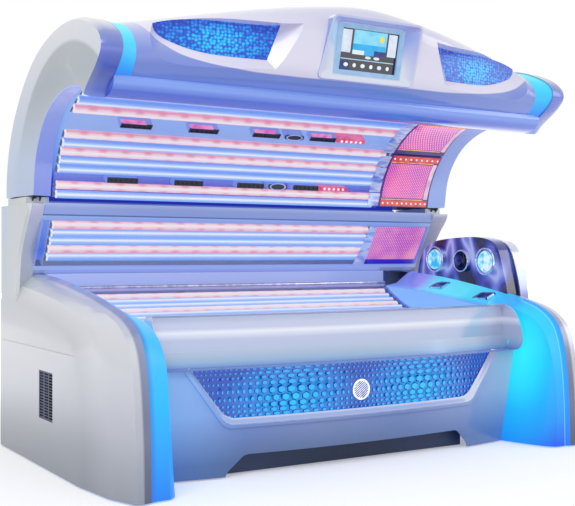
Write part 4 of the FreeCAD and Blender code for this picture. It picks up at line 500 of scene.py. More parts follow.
foot_light = new_finish("foot_wing_light", "#26BCF7", 0.4, coat=0.05)
foot_tone = shades(foot_light, along(foot_light, "Z", 0.0, 0.72), [
    (0.0, "#0E80F4"), (0.25, "#10A2FB"), (0.5, "#12BCFD"), (0.8, "#3CC0F6"), (1.0, "#8FCBF4")])
foot_rim = along(foot_light, "X", 1.034, 1.056, mirrored=True)
tint(foot_light, mixed(foot_light, sums(foot_light, "MULTIPLY", foot_rim, 0.6), foot_tone, "#0E6CE4"),
    light=0.9)
grain(foot_light, 700.0, 0.00004)
dress_all(["left_wing_light"], foot_light)

strip_light = new_finish("strip_light", "#4FD9FA", 0.4, coat=0.05)
tint(strip_light, shades(strip_light, along(strip_light, "Z", 1.58, 1.83), [
    (0.0, "#2C8CF4"), (0.18, "#2FB4F8"), (0.45, "#3ED4FC"), (0.8, "#4FE0FE"), (1.0, "#8FE9FD")]), light=0.9)
grain(strip_light, 700.0, 0.00004)
dress_all(["canopy_light_strips"], strip_light)

# %% [markdown]
# ## The head deck and its buttons
# The surface beside the pillow end is lit from below and slopes to the bench. It is brightest
# in the middle, azure towards the front and lilac towards the rear where no lamp reaches; its
# walls that face the bench are painted paler with reflections. Two dark glass buttons lie in it
# in thin bright frames, with painted reflections on their glass.

# %% Head deck
deck_light = new_finish("deck_light", "#5FE6FB", 0.25, coat=0.2)
deck_run = shades(deck_light, along(deck_light, "Y", -0.42, 0.474), [
    (0.0, "#2FA9F8"), (0.18, "#3FC2FA"), (0.40, "#5FE2FB"), (0.68, "#66DDF8"), (0.80, "#8593EE"),
    (1.0, "#6F78D8")])
# Painted reflection: the walls that face the bench are paler.
deck_wall = sums(deck_light, "MAXIMUM", facing(deck_light, (-1, 0, 0)), 0.0)
deck_inner = sums(deck_light, "SUBTRACT", 1.0, along(deck_light, "X", 0.885, 0.935))
wall_share = sums(deck_light, "MULTIPLY", deck_inner, 0.75)
deck_colour = mixed(deck_light, wall_share, deck_run, "#6FA2F6")
deck_colour = mixed(deck_light, spread(deck_light, deck_wall, 0.7, 0.9), deck_colour, "#7FB4FA")
tint(deck_light, deck_colour, light=0.85)
grain(deck_light, 60.0, 0.0002)
dress_all(["head_deck"], deck_light)

button_glass = new_finish("button_glass", "#1B2250", 0.08, coat=0.8)
# Painted reflections: stretched pale and dark bands across the dark glass.
glass_reflection_bands = mottle(button_glass, 22.0, 1.0, (2.0, 0.4, 1.0))
tint(button_glass, shades(button_glass, glass_reflection_bands, [
    (0.36, "#10163A"), (0.48, "#2B3A8C"), (0.56, "#8FB0F0"), (0.62, "#1E2A66")]))
dress_all(["start_button", "stop_button"], button_glass)

bright_trim = new_finish("bright_trim", "#DDE6F8", 0.12, metallic=0.9)
tint(bright_trim, shades(bright_trim, mottle(bright_trim, 40.0), [(0.3, "#B4C4EC"), (0.7, "#F4F8FF")]))
frames = bmesh.new()
for name in ("start_button", "stop_button"):
    top = max(frame["nodes"][name].data.polygons, key=lambda face: face.area * max(face.normal.z, 0.0))
    low, high = (Vector(corner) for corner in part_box(name))
    up = top.normal.normalized()
    middle = (low + high) / 2
    middle += up * (top.center - middle).dot(up)
    side = Vector((0, 1, 0)).cross(up).normalized()
    lean = Matrix.Translation(middle) @ Matrix((side, up.cross(side), up)).transposed().to_4x4()
    for x0, x1, y0, y1 in ((-0.034, -0.0265, -0.049, 0.049), (0.0265, 0.034, -0.049, 0.049),
                           (-0.034, 0.034, -0.049, -0.0415), (-0.034, 0.034, 0.0415, 0.049)):
        block(frames, (x0, y0, -0.003), (x1, y1, 0.0085), lean)
    pane = bmesh.new()
    block(pane, (-0.0255, -0.0405, 0.0005), (0.0255, 0.0405, 0.0065), lean)
    piece(name + "_glass", pane, button_glass, name)
piece("button_frames", frames, bright_trim, "base")

# %% [markdown]
# ## Front fascia, rail and toe kick
# The fascia is a long glossy panel, so broad soft bands of what stands around it are painted on
# it as reflections, with the wing's cyan glow painted at its left end and painted shade low down.
# The rail above is a rounded silver moulding with one crisp painted highlight along its shoulder
# and a blue underside, painted as lit by the wings beside it.

# %% Fascia, rail and toe kick
fascia_blue = new_finish("fascia_blue", "#7E9FE0", 0.24, coat=0.5)
# Painted reflections across the panel, with the wing's cyan glow at the left end.
fascia_painted_reflections = shades(fascia_blue, along(fascia_blue, "X", -0.95, 0.95), [
    (0.0, "#A4D0F8"), (0.10, "#93BDF4"), (0.2, "#7C9DE2"), (0.38, "#8EA2D8"), (0.62, "#8099D8"),
    (0.86, "#A9BCE8"), (1.0, "#CBD3E8")])
# Painted shade: slate towards the bottom of the panel.
fascia_painted_low_shade = shades(fascia_blue, along(fascia_blue, "X", -0.95, 0.95), [
    (0.0, "#5A8ACB"), (0.22, "#4F6B98"), (0.55, "#54709F"), (0.8, "#5A7AB4"), (1.0, "#7DA0D8")])
tint(fascia_blue, mixed(fascia_blue, along(fascia_blue, "Z", 0.06, 0.26), fascia_painted_low_shade, fascia_painted_reflections))
grain(fascia_blue, 500.0, 0.00004)
dress_all(["front_fascia"], fascia_blue)

rail_silver = new_finish("rail_silver", "#C9CDE6", 0.20, metallic=0.15, coat=0.6)
# Painted highlight: the white band along the shoulder; the blue underside is painted wing light.
tint(rail_silver, shades(rail_silver, along(rail_silver, "Z", 0.441, 0.657), [
    (0.0, "#3F62C8"), (0.05, "#7FA6DC"), (0.12, "#9CBEDF"), (0.27, "#BBCAE2"), (0.52, "#C2CAE4"),
    (0.66, "#F4F6FC"),
    (0.73, "#CDD2E9"), (1.0, "#D5DEF4")]))
grain(rail_silver, 700.0, 0.00004)
dress_all(["front_rail"], rail_silver)

toe_dark = new_finish("toe_navy", "#2E3F5F", 0.5)
tint(toe_dark, shades(toe_dark, along(toe_dark, "X", -0.64, 0.64),
    [(0.0, "#34476A"), (0.5, "#26344F"), (1.0, "#31456A")]))
grain(toe_dark, 500.0, 0.0001)
dress_all(["toe_kick"], toe_dark)

# %% [markdown]
# ## The honeycomb window
# The panel behind the rail is a lit honeycomb. A pressed sheet would do, but the cells read as
# raised six-sided lozenges that grow towards the two lamps and flatten away from them. So a
# blue sheet is bent to the fascia's bow and the cells are set on it row by row, each with the
# size and colour of its place and painted shade on its sides. A soft frame is bridged between
# two outlines around it, with a faint painted glow and a painted highlight towards its right end.

# %% Honeycomb window
BOW_CENTRE_Y, BOW_FRONT_Y, BOW_LEAN = 4.688, -0.512, 0.033 / 0.441
WINDOW_Z = (0.218, 0.441)
WINDOW_FOOT, WINDOW_FLARE = 0.640, 0.7444
CELL_RECESS = 0.0273
LOBE_X, LOBE_SPREAD = 0.33, 0.2
ROW_MIDDLE_Z, ROW_SPREAD = 0.325, 0.06


def bow_y(x, z, recess):
    """The y of the fascia's bowed, leaning front at x and z, set back by recess."""
    radius = BOW_CENTRE_Y - (BOW_FRONT_Y + recess - BOW_LEAN * z)
    return BOW_CENTRE_Y - math.sqrt(radius * radius - x * x)


def window_half(z):
    """Half the width of the window at a height."""
    return WINDOW_FOOT + WINDOW_FLARE * (z - WINDOW_Z[0])


sheet_blue = new_finish("honeycomb_sheet", "#2C5FD0", 0.3, coat=0.3)
lobe_glow = nearness(sheet_blue, (0.33, -0.49, 0.31), (0.34, 0, 0.16), mirrored=True)
tint(sheet_blue, shades(sheet_blue, lobe_glow, [
    (0.0, "#1C9CE6"), (0.35, "#2388E0"), (0.7, "#3A78D8"), (1.0, "#2C52B8")]), light=0.75)
dress_all(["honeycomb_panel"], sheet_blue)

glow_box = new_finish("glow_box", "#24C0F4", 0.4)
tint(glow_box, shades(glow_box, nearness(glow_box, (0.33, -0.45, 0.30), (0.4, 0, 0.2), mirrored=True), [
    (0.0, "#2FC8F6"), (1.0, "#1F4FC0")]), light=0.6)
dress_all(["honeycomb_light_box"], glow_box)

cell_caps = new_finish("honeycomb_cells", "#2FB8F6", 0.35, coat=0.15)
cap_glow = shades(cell_caps, nearness(cell_caps, (0.33, -0.49, 0.31), (0.40, 0, 0.20), mirrored=True), [
    (0.0, "#16C6FC"), (0.35, "#18B4F8"), (0.65, "#2FB0F4"), (1.0, "#3C90EA")])
# Painted shade: the sides of each cell are dark blue beside its lit cap.
cell_side_shade = spread(cell_caps, facing(cell_caps, (0, -1, 0)), 0.55, 0.9)
tint(cell_caps, mixed(cell_caps, cell_side_shade, "#1238A8", cap_glow), light=0.85)
cells = bmesh.new()
BADGE_MIDDLE, BADGE_KEEP = (0.0, 0.319), 0.052
row_z = WINDOW_Z[0] + 0.012
row_index = 0
while row_z < WINDOW_Z[1] - 0.006:
    row_pitch = 0.016 + 0.020 * math.exp(-(((row_z - ROW_MIDDLE_Z) / ROW_SPREAD) ** 2))
    half = window_half(row_z) - 0.010
    x = -half + (0.5 * (row_index % 2)) * 0.030
    while x < half:
        near = math.exp(-(((abs(x) - LOBE_X) / LOBE_SPREAD) ** 2))
        pitch = 0.019 + 0.029 * near
        fill = 0.50 + 0.42 * near
        if math.hypot(x - BADGE_MIDDLE[0], row_z - BADGE_MIDDLE[1]) > BADGE_KEEP:
            y = bow_y(x, row_z, CELL_RECESS)
            turn = math.asin(max(-1.0, min(1.0, x / 5.1)))
            where = (Matrix.Translation((x, y, row_z)) @ Matrix.Rotation(turn, 4,
                "Z") @ Matrix.Rotation(math.pi / 2, 4, "X")
                     @ Matrix.Diagonal((pitch * fill * 0.56, row_pitch * fill * 0.60, 1, 1)))
            bmesh.ops.create_cone(cells, cap_ends=True, segments=6, radius1=1.0, radius2=0.72, depth=0.008,
                matrix=where)
        x += pitch
    row_z += row_pitch * 0.92
    row_index += 1
piece("honeycomb_cells", cells, cell_caps, "base", crease=20.0)

# Painted light: a faint glow over the trim and a painted highlight towards its right end.
trim_pale = new_finish("window_trim", "#C5D3F5", 0.16, metallic=0.2, coat=0.7)
tint(trim_pale, shades(trim_pale, along(trim_pale, "X", -0.85, 0.85), [
    (0.0, "#C4DAFA"), (0.3, "#C9D6F6"), (0.7, "#C4D4F8"), (1.0, "#EEF2FC")]), light=0.2)
grain(trim_pale, 700.0, 0.00003)


def ribbon(surface, path, section):
    """Lays a strip along a path; section(point, share) places the points across it."""
    across = 6
    grid = bmesh.ops.create_grid(surface, x_segments=len(path) - 1, y_segments=across, size=0.5)["verts"]
    for vert in grid:
        index = round((vert.co.x + 0.5) * (len(path) - 1))
        vert.co = section(path[index], vert.co.y + 0.5)


def bent_corner(before, corner, after, cut, steps=6):
    """A rounded corner as a short curve between the two sides."""
    start = corner + (before - corner).normalized() * cut
    end = corner + (after - corner).normalized() * cut
    return [start.lerp(corner, k / steps).lerp(corner.lerp(end, k / steps),
        k / steps) for k in range(steps + 1)]


top_left, top_right = (Vector((s * window_half(0.445), 0.445)) for s in (-1, 1))
foot_left, foot_right = (Vector((s * window_half(WINDOW_Z[0]), WINDOW_Z[0])) for s in (-1, 1))
path = [top_left, top_left.lerp(foot_left, 0.5)]
path += bent_corner(top_left, foot_left, foot_right, 0.045)
path += [foot_left.lerp(foot_right, 0.08 + 0.84 * k / 20) for k in range(21)]
path += bent_corner(foot_left, foot_right, top_right, 0.045)
path += [top_right.lerp(foot_right, 0.5), top_right]
TRIM_MIDDLE = Vector((0.0, 0.50))
TRIM_BEND_Z = 0.27


def trim_section(point, share):
    """The trim rises from the fascia, rounds over and runs back to the honeycomb."""
    if point.y > TRIM_BEND_Z:
        out = Vector((math.copysign(1.0, point.x) * 0.75, -0.25))
    else:
        out = Vector(((point - TRIM_MIDDLE).normalized().x * 0.4, -1.0))
    grow = 0.014 - 0.036 * share
    recess = -0.0072 * math.sin(math.pi * min(1.0, share * 1.4)) + 0.030 * max(0.0, share - 0.35)
    x, z = point.x + out.x * grow, point.y + out.y * grow
    return Vector((x, bow_y(x, z, recess), z))


trim = bmesh.new()
ribbon(trim, path, trim_section)
piece("window_trim", trim, trim_pale, "base", crease=60.0)

# %% [markdown]
# ## The badge
# A round disc sits in the middle of the window. It stays blank: a bright rim and a set of
# diagonal ridges, as a spun metal boss has.

# %% Badge
badge_metal = new_finish("badge_metal", "#DDE3F2", 0.18, metallic=0.9)
tint(badge_metal, shades(badge_metal, mottle(badge_metal, 30.0), [(0.3, "#C3CCE6"), (0.7, "#FFFFFF")]))
dress_all(["badge_disc"], badge_metal)
RIDGE_FIELD_R, RIDGE_PITCH, RIDGE_HALF = 0.036, 0.008, 0.0022
boss = bmesh.new()
low, high = (Vector(corner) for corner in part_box("badge_disc"))
middle = (low + high) / 2
stand = Matrix.Translation((middle.x, low.y, middle.z)) @ Matrix.Rotation(math.pi / 2, 4, "X")
for k in range(-4, 5):
    reach = math.sqrt(max(0.0, RIDGE_FIELD_R ** 2 - (k * RIDGE_PITCH) ** 2))
    slant = stand @ Matrix.Rotation(math.radians(35), 4, "Z")
    block(boss, (-reach, k * RIDGE_PITCH - RIDGE_HALF, 0.0001),
        (reach, k * RIDGE_PITCH + RIDGE_HALF, 0.0035), slant)
boss_dark = new_finish("boss_ridges", "#3A4A86", 0.25, metallic=0.5)
tint(boss_dark, shades(boss_dark, mottle(boss_dark, 60.0), [(0.35, "#2B3870"), (0.65, "#7C8CC8")]))
bmesh.ops.translate(boss, vec=(0, 0.0032, 0), verts=boss.verts)
piece("badge_ridges", boss, boss_dark, "base")

# %% [markdown]
# ## The canopy's front
# The cover over the canopy is a broad bowed sheet. Below a long curved line it is blue, with
# the light from the lip and its shade painted in, and above it the pearl coat is lavender white,
# with painted shade towards the top; a faint painted glow lies over all of it. The line could be
# cut into the shape, but on the real moulding it is a change of colour in one surface, so it is
# painted: a height for each x, compared with the height of the point.

# %% Canopy cover, lip and trims
CRESCENT = ((-0.990, 1.840), (-0.973, 1.745), (-0.901, 1.703), (-0.796, 1.662), (-0.597, 1.631), (-0.371, 1.624),
            (-0.10, 1.625), (0.259, 1.625), (0.521, 1.629), (0.800, 1.657), (0.901, 1.681), (0.958, 1.714),
            (0.990, 1.755))
cover_paint = new_finish("canopy_cover", "#E2DFF0", 0.26, coat=0.6)
curve = node(cover_paint, "FloatCurve")
points = curve.mapping.curves[0].points
points[0].location = (0.0, 0.80)
points[1].location = (1.0, 0.56)
for x, z in CRESCENT:
    points.new((x + 1.0) / 2.0, (z - 1.5) / 0.5)
curve.mapping.update()
wire(cover_paint, along(cover_paint, "X", -1.0, 1.0), curve.inputs["Value"])
height = along(cover_paint, "Z", 1.5, 2.0)
above = sums(cover_paint, "SUBTRACT", height, curve.outputs[0])
# Below the line: the blue, with painted light from the lip and painted shade by height.
blue_band_with_painted_light = shades(cover_paint, height, [
    (0.14, "#7C98EC"), (0.24, "#6F88DA"), (0.34, "#7F92DC"), (0.48, "#A5B0E6"), (0.62, "#C9CEEC"),
    (0.8, "#D6DAEE")])
# Above the line: the pearl, with painted shade towards the top.
pearl_band_with_painted_shade = shades(cover_paint, height, [(0.0, "#D9D6F0"), (0.34, "#E6E2F4"), (0.6, "#E2DFF2"),
    (0.84, "#CFD0E8"), (1.0, "#C6CAE2")])
# A faint painted glow over the whole cover.
tint(cover_paint, mixed(cover_paint, spread(cover_paint, above, -0.004, 0.006), blue_band_with_painted_light, pearl_band_with_painted_shade),
    light=0.15)
grain(cover_paint, 500.0, 0.00004)
dress_all(["canopy_front_cover"], cover_paint)

lip_blue = new_finish("lip_blue", "#7FA0F2", 0.18, coat=0.6)
tint(lip_blue, shades(lip_blue, along(lip_blue, "Z", 1.500, 1.577), [
    (0.0, "#4C62D0"), (0.25, "#5F7CE4"), (0.55, "#7598F0"), (0.8, "#82A6F6"), (1.0, "#7FA2F4")]), light=0.35)
grain(lip_blue, 500.0, 0.00003)
dress_all(["canopy_lip"], lip_blue)

rim_blue = new_finish("rim_blue", "#7C9AE8", 0.24, coat=0.5)
# Painted light: the rims glow faintly, the left one darker low down, the right one paler.
rim_left = shades(rim_blue, along(rim_blue, "Z", 1.13, 1.66),
    [(0.0, "#7F90E6"), (0.5, "#94A8F0"), (1.0, "#B4C4F8")])
rim_right = shades(rim_blue, along(rim_blue, "Z", 1.13, 1.60),
    [(0.0, "#9DBCF6"), (0.5, "#A9BDF6"), (1.0, "#A4B2F2")])
tint(rim_blue, mixed(rim_blue, along(rim_blue, "X", -0.2, 0.2), rim_left, rim_right), light=0.35)
grain(rim_blue, 500.0, 0.00003)
dress_all(["canopy_inner_rims"], rim_blue)

# %% [markdown]
# ## Bench, rear bar and side frame
# The trims around the lamps take their colour from the tubes: the tubes' light is painted on
# them and they glow faintly. The pale edge of the bench is lavender; the bar and the frame of the
# side lamps are violet blue, with a groove line where two mouldings meet.

# %% Bench trims and acrylic
frame_blue = new_finish("frame_blue", "#7E97DC", 0.26, coat=0.5)
# Painted light of the tubes with a faint glow; the dark line is the groove between mouldings.
tint(frame_blue, shades(frame_blue, along(frame_blue, "Z", 0.70, 1.128), [
    (0.0, "#A9B6F2"), (0.28, "#B4C6F8"), (0.5, "#6F93EE"), (0.84, "#9DBBF6"), (0.865, "#A9C8F8"),
    (0.872, "#3A4C92"),
    (0.885, "#8CA4E0"), (0.95, "#93A8E0"), (1.0, "#B0C0EC")]), light=0.3)
grain(frame_blue, 500.0, 0.00004)
dress_all(["side_tanner_housing", "bench_rear_bar"], frame_blue)

acrylic = new_finish("clear_acrylic", "#CFE0FF", 0.04, coat=0.3)
shader_of(acrylic).inputs["Alpha"].default_value = 0.13
tint(acrylic, shades(acrylic, mottle(acrylic, 3.0), [(0.3, "#B9CEFF"), (0.7, "#DCE9FF")]))
grain(acrylic, 30.0, 0.00002)
dress_all(["bench_pane", "side_tanner_screen", "canopy_screen"], acrylic)

# %% [markdown]
# ## Lamps
# A fluorescent tube seen along its side is painted with a pale highlight line where it faces
# the viewer and painted shade in a deeper colour towards its edges. The lamps lie about one
# axis, so the share of the surface normal along the tangent about that axis gives the bands.
# The red tubes carry a painted reflection of a row of soft scallops of their reflector at even
# steps.

# %% Lamp finishes
FIELD_Y, FIELD_Z = -0.152, 1.076
SCALLOP_STEP = 0.11


def tangent_share(paint):
    """Plus one on the lower flank of a tube about the lamp field, minus one on the upper."""
    geometry = node(paint, "TexCoord")
    away = node(paint, "VectorMath", operation="SUBTRACT")
    wire(paint, geometry.outputs["Object"], away.inputs[0])
    away.inputs[1].default_value = (0, FIELD_Y, FIELD_Z)
    flat = node(paint, "VectorMath", operation="MULTIPLY")
    wire(paint, away.outputs["Vector"], flat.inputs[0])
    flat.inputs[1].default_value = (0, 1, 1)
    unit = node(paint, "VectorMath", operation="NORMALIZE")
    wire(paint, flat.outputs["Vector"], unit.inputs[0])
    cross = node(paint, "VectorMath", operation="CROSS_PRODUCT")
    cross.inputs[0].default_value = (1, 0, 0)
    wire(paint, unit.outputs["Vector"], cross.inputs[1])
    dot_step = node(paint, "VectorMath", operation="DOT_PRODUCT")
    wire(paint, cross.outputs["Vector"], dot_step.inputs[0])
    wire(paint, geometry.outputs["Normal"], dot_step.inputs[1])
    return dot_step.outputs["Value"]


def lamp_finish(name, stops, reflection_colour=""):
    paint = new_finish(name, "#6F9BF0", 0.3)
    # Painted highlight and shade across each tube: pale where it faces the viewer, deeper at its edges.
    bands = shades(paint, spread(paint, tangent_share(paint), -1.0, 1.0), stops)
    if reflection_colour:
        # Painted reflection of the reflector's scallops on the flanks of the red tubes.
        step = sums(paint, "MULTIPLY", place_of(paint, "X"), math.tau / SCALLOP_STEP)
        wave = spread(paint, sums(paint, "SINE", step), 0.0, 1.0)
        upper = spread(paint, sums(paint, "ABSOLUTE", tangent_share(paint)), 0.25, 0.85)
        bands = mixed(paint, sums(paint, "MULTIPLY", wave, upper), bands, reflection_colour)
    tint(paint, bands, light=0.92)
    grain(paint, 300.0, 0.00002)
    return paint


BLUE_BANDS = [(0.0, "#6E9BF4"), (0.2, "#8FB8FA"), (0.34, "#B4D2FE"), (0.45, "#EAF3FF"), (0.56, "#FAFCFF"),
              (0.68, "#B9D6FF"), (0.84, "#86AEF9"), (1.0, "#6A92F0")]
RED_BANDS = [(0.0, "#F28EA8"), (0.12, "#FCC4C8"), (0.35, "#FFE6E2"), (0.6, "#FFF4F1"), (0.88, "#FCD0D0"),
    (1.0, "#F294AA")]
blue_tube = lamp_finish("blue_tube", BLUE_BANDS)
red_tube = lamp_finish("red_tube", RED_BANDS, reflection_colour="#F08896")
dress_all(["canopy_lamps_blue", "base_lamps_blue"], blue_tube)
dress_all(["canopy_lamps_red", "base_lamps_red"], red_tube)

reflector = new_finish("reflector", "#3B55D0", 0.22, metallic=0.2)
# Painted light of the tubes: a faint glow, deep blue low in the field and paler higher up.
field_tone = shades(reflector, along(reflector, "Z", 1.16, 1.66), [
    (0.0, "#2633C4"), (0.16, "#3A45D4"), (0.26, "#6B96F0"), (0.5, "#88B2F8"), (0.85, "#A6C6FA"),
    (1.0, "#7FA6F4")])
bed_tone = shades(reflector, mottle(reflector, 4.0, 2.0, (0.5, 3.0, 3.0)),
    [(0.3, "#2F46C8"), (0.7, "#5478E8")])
tint(reflector, mixed(reflector, along(reflector, "Z", 1.10, 1.15), bed_tone, field_tone), light=0.65)
grain(reflector, 200.0, 0.00003)
dress_all(["canopy_reflector", "bench_tray"], reflector)

# %% [markdown]
# ## Black parts, steel and rubber
# Lamp holders and grilles are matt black plastic. The frame that nobody sees is painted
# steel, the rods and the hinge pin are ground bright, and the feet are rubber.

# %% Black parts, steel and rubber
black = new_finish("black_plastic", "#171B2E", 0.45)
tint(black, shades(black, mottle(black, 12.0), [(0.3, "#101425"), (0.7, "#222840")]))
grain(black, 900.0, 0.00008)
dress_all(["base_lamp_holders", "canopy_lamp_holders", "vent_grilles", "power_inlet"], black)

vent_paint = new_finish("vent_strips", "#7FA8F4", 0.35, coat=0.3)
# Painted reflection and glow: the deeper faces of the vents light blue, their front faces black.
vent_depth = nearness(vent_paint, (0, FIELD_Y, FIELD_Z), (0, 1, 1))
tint(vent_paint, mixed(vent_paint, spread(vent_paint, vent_depth, 0.5190, 0.5196), "#10142A", "#7FA8F4"),
    light=0.3)
grain(vent_paint, 900.0, 0.00005)
dress_all(["canopy_vents_speakers"], vent_paint)

painted_steel = new_finish("painted_steel", "#4B5363", 0.5, metallic=0.3)
tint(painted_steel, shades(painted_steel, mottle(painted_steel, 9.0), [(0.3, "#3F4656"), (0.7, "#5A6374")]))
grain(painted_steel, 600.0, 0.0001)
dress_all(["base_frame", "canopy_frame", "hinge_brackets", "ballast_units", "blower_housings"], painted_steel)

ground_steel = new_finish("ground_steel", "#C9CED8", 0.2, metallic=1.0)
tint(ground_steel, shades(ground_steel, mottle(ground_steel, 30.0, 2.0, (1, 1, 0.1)),
    [(0.3, "#AEB4C0"), (0.7, "#E2E6EE")]))
dress_all(["lift_rods", "lift_cylinders", "pane_hinge_rod"], ground_steel)

rubber = new_finish("rubber_feet", "#1C1E22", 0.8)
tint(rubber, shades(rubber, mottle(rubber, 20.0), [(0.3, "#16181B"), (0.7, "#2A2D32")]))
grain(rubber, 400.0, 0.0002)
dress_all(["levelling_feet"], rubber)

# %% [markdown]
# ## Details inside the canopy
# Everything in the canopy's tunnel lies on one curved face about the lamp field, so one
# helper makes all of it: a small rectangle is spun about that axis between two angles. Spun
# strips follow the face exactly, where flat plates would cut through it.

# %% Arc strips
def arc_strip(surface, x_span, r_span, angles, skew=0.0, steps=8):
    """Spins a rectangle about the lamp field; angles rise from the rear to the top."""
    part = bmesh.new()
    where = (Matrix.Rotation(math.radians(angles[0]), 4, "X")
             @ Matrix.Translation((sum(x_span) / 2, sum(r_span) / 2, 0))
             @ Matrix.Diagonal((x_span[1] - x_span[0], r_span[1] - r_span[0], 1, 1)))
    bmesh.ops.create_grid(part, x_segments=1, y_segments=1, size=0.5, matrix=where)
    bmesh.ops.spin(part, geom=part.faces[:], axis=(1, 0, 0), angle=math.radians(angles[1] - angles[0]),
        steps=steps)
    bmesh.ops.remove_doubles(part, verts=part.verts, dist=1e-6)
    for vert in part.verts:
        vert.co.x += skew * (math.degrees(math.atan2(vert.co.z, vert.co.y)) - angles[0])
    bmesh.ops.translate(part, vec=(0, FIELD_Y, FIELD_Z), verts=part.verts)
    join(part, surface)


def field_spot(x, angle, radius):
    """The point at an angle and a radius about the lamp field."""
    a = math.radians(angle)
    return Vector((x, FIELD_Y + radius * math.cos(a), FIELD_Z + radius * math.sin(a)))


print("arc strips ready")

# %% [markdown]
# ## Vents, speakers and beads
# Two rows of vents cross the field, with a speaker and a strip of light beads in each row.
# Above each vent of the upper row lies a slanted pink plate that glows with painted light.
# Dark plates behind the vents stand in for the shade inside them.

# %% Vents, speakers and beads
VENT_XS = (-0.740, -0.402, -0.062, 0.264)
VENT_ROWS = (18.4, 50.2)
SPEAKER_X, BEADS_X = 0.095, 0.434
# Painted light: the pink plates glow.
plate_pink = new_finish("vent_plates", "#E878C4", 0.25, coat=0.4)
tint(plate_pink, shades(plate_pink, mottle(plate_pink, 24.0), [(0.3, "#D85CB8"), (0.7, "#F4A4D4")]),
    light=0.75)
plates = bmesh.new()
for x in VENT_XS:
    arc_strip(plates, (x - 0.074, x + 0.046), (0.5122, 0.5143), (51.9, 54.6), skew=-0.007)
piece("vent_plates", plates, plate_pink, "canopy")
# Painted shade: black plates behind the vent slots stand in for the shade inside them.
backs = bmesh.new()
for angle in VENT_ROWS:
    for x in VENT_XS:
        arc_strip(backs, (x - 0.070, x + 0.070), (0.5165, 0.5180), (angle - 1.1, angle + 1.1), steps=3)
piece("vent_backs", backs, black, "canopy")

ring_light = new_finish("speaker_rings", "#A9C2FA", 0.2, coat=0.5)
tint(ring_light, shades(ring_light, mottle(ring_light, 20.0), [(0.3, "#86A8F6"), (0.7, "#C9DAFF")]),
    light=0.35)
rings = bmesh.new()
for angle in VENT_ROWS:
    part = bmesh.new()
    ring(part, (0, 0, 0), 0.018, 0.0020)
    bmesh.ops.rotate(part, cent=(0, 0, 0), matrix=Matrix.Rotation(math.pi / 2, 3, "Z"), verts=part.verts)
    bmesh.ops.scale(part, vec=(2.4, 1.0, 0.9), verts=part.verts)
    bmesh.ops.rotate(part, cent=(0, 0, 0), matrix=Matrix.Rotation(math.radians(angle), 3, "X"),
        verts=part.verts)
    bmesh.ops.translate(part, vec=field_spot(SPEAKER_X, angle, 0.5135), verts=part.verts)
    join(part, rings)
piece("speaker_rings", rings, ring_light, "canopy")

led_strip = new_finish("led_strips", "#EE4C78", 0.3)
tint(led_strip, shades(led_strip, mottle(led_strip, 20.0), [(0.3, "#E02858"), (0.7, "#F8709C")]), light=0.8)
dress_all(["canopy_led_strips"], led_strip)
bead_white = new_finish("light_beads", "#FFFFFF", 0.3)
tint(bead_white, shades(bead_white, mottle(bead_white, 90.0), [(0.3, "#EEF6FF"), (0.7, "#FFFFFF")]),
    light=0.9)
beads = bmesh.new()
for angle in VENT_ROWS:
    for k in range(-2, 3):
        dot(beads, field_spot(BEADS_X + 0.029 * k, angle, 0.5125), 0.0070)
piece("light_beads", beads, bead_white, "canopy")

# %% [markdown]
# ## Facial and shoulder units
# At the head end high-pressure lamps sit behind hatched filter glass, magenta from the lamps
# behind. Each unit has a dark frame with a faint painted glow, a silver reflector wedge with
# painted reflections on the side of the tubes, a bright strip on the other side and red bars
# with light beads across it.

# %% Facial units
GLASS_X = (0.752, 1.036)
WEDGE_X = (0.664, 0.732)
HATCH_STEP = 0.016
unit_dark = new_finish("unit_frame", "#3A2A72", 0.3, coat=0.4)
# Painted light: a faint glow of the lamps on the dark frame.
tint(unit_dark, shades(unit_dark, mottle(unit_dark, 12.0), [(0.3, "#2A1E62"), (0.7, "#5A3E9A")]), light=0.3)
dress_all(["canopy_facial_tanners"], unit_dark)


def hatching(paint, first, second, third):
    """The colour of crossed fine lines over a cloud of two colours."""
    cloud = shades(paint, mottle(paint, 9.0, 2.0), [(0.35, first), (0.65, second)])
    line = 1.0
    for axis in "XZ":
        wave = sums(paint, "SINE", sums(paint, "MULTIPLY", place_of(paint, axis), math.tau / HATCH_STEP))
        line = sums(paint, "MULTIPLY", line, wave)
    return mixed(paint, spread(paint, line, 0.1, 0.8), cloud, third)


magenta_glass = new_finish("facial_glass", "#C03CB8", 0.12, coat=0.6)
tint(magenta_glass, hatching(magenta_glass, "#C03CB8", "#EC4CA8", "#F9B8E4"), light=0.8)
glass = bmesh.new()
for angles in ((14.5, 36.5), (47.5, 69.5)):
    arc_strip(glass, GLASS_X, (0.5135, 0.5160), angles)
piece("facial_glass", glass, magenta_glass, "canopy")

wedge_silver = new_finish("reflector_wedges", "#C9D3F4", 0.2, metallic=0.5)
# Painted reflections: stretched pale and dark bands on the silver wedge, with a faint painted glow.
tint(wedge_silver, shades(wedge_silver, mottle(wedge_silver, 16.0, 1.0, (0.5, 2.0, 2.0)), [
    (0.35, "#7F93E6"), (0.5, "#D7DEFA"), (0.65, "#9FB0F0")]), light=0.4)
wedges = bmesh.new()
for low, high in ((9.6, 42.0), (44.1, 75.4)):
    steps = 4
    for k in range(steps):
        a0 = low + (high - low) * k / steps
        a1 = low + (high - low) * (k + 0.92) / steps
        arc_strip(wedges, WEDGE_X, (0.5105, 0.5145), (a0, a1), skew=0.0006, steps=3)
piece("reflector_wedges", wedges, wedge_silver, "canopy")

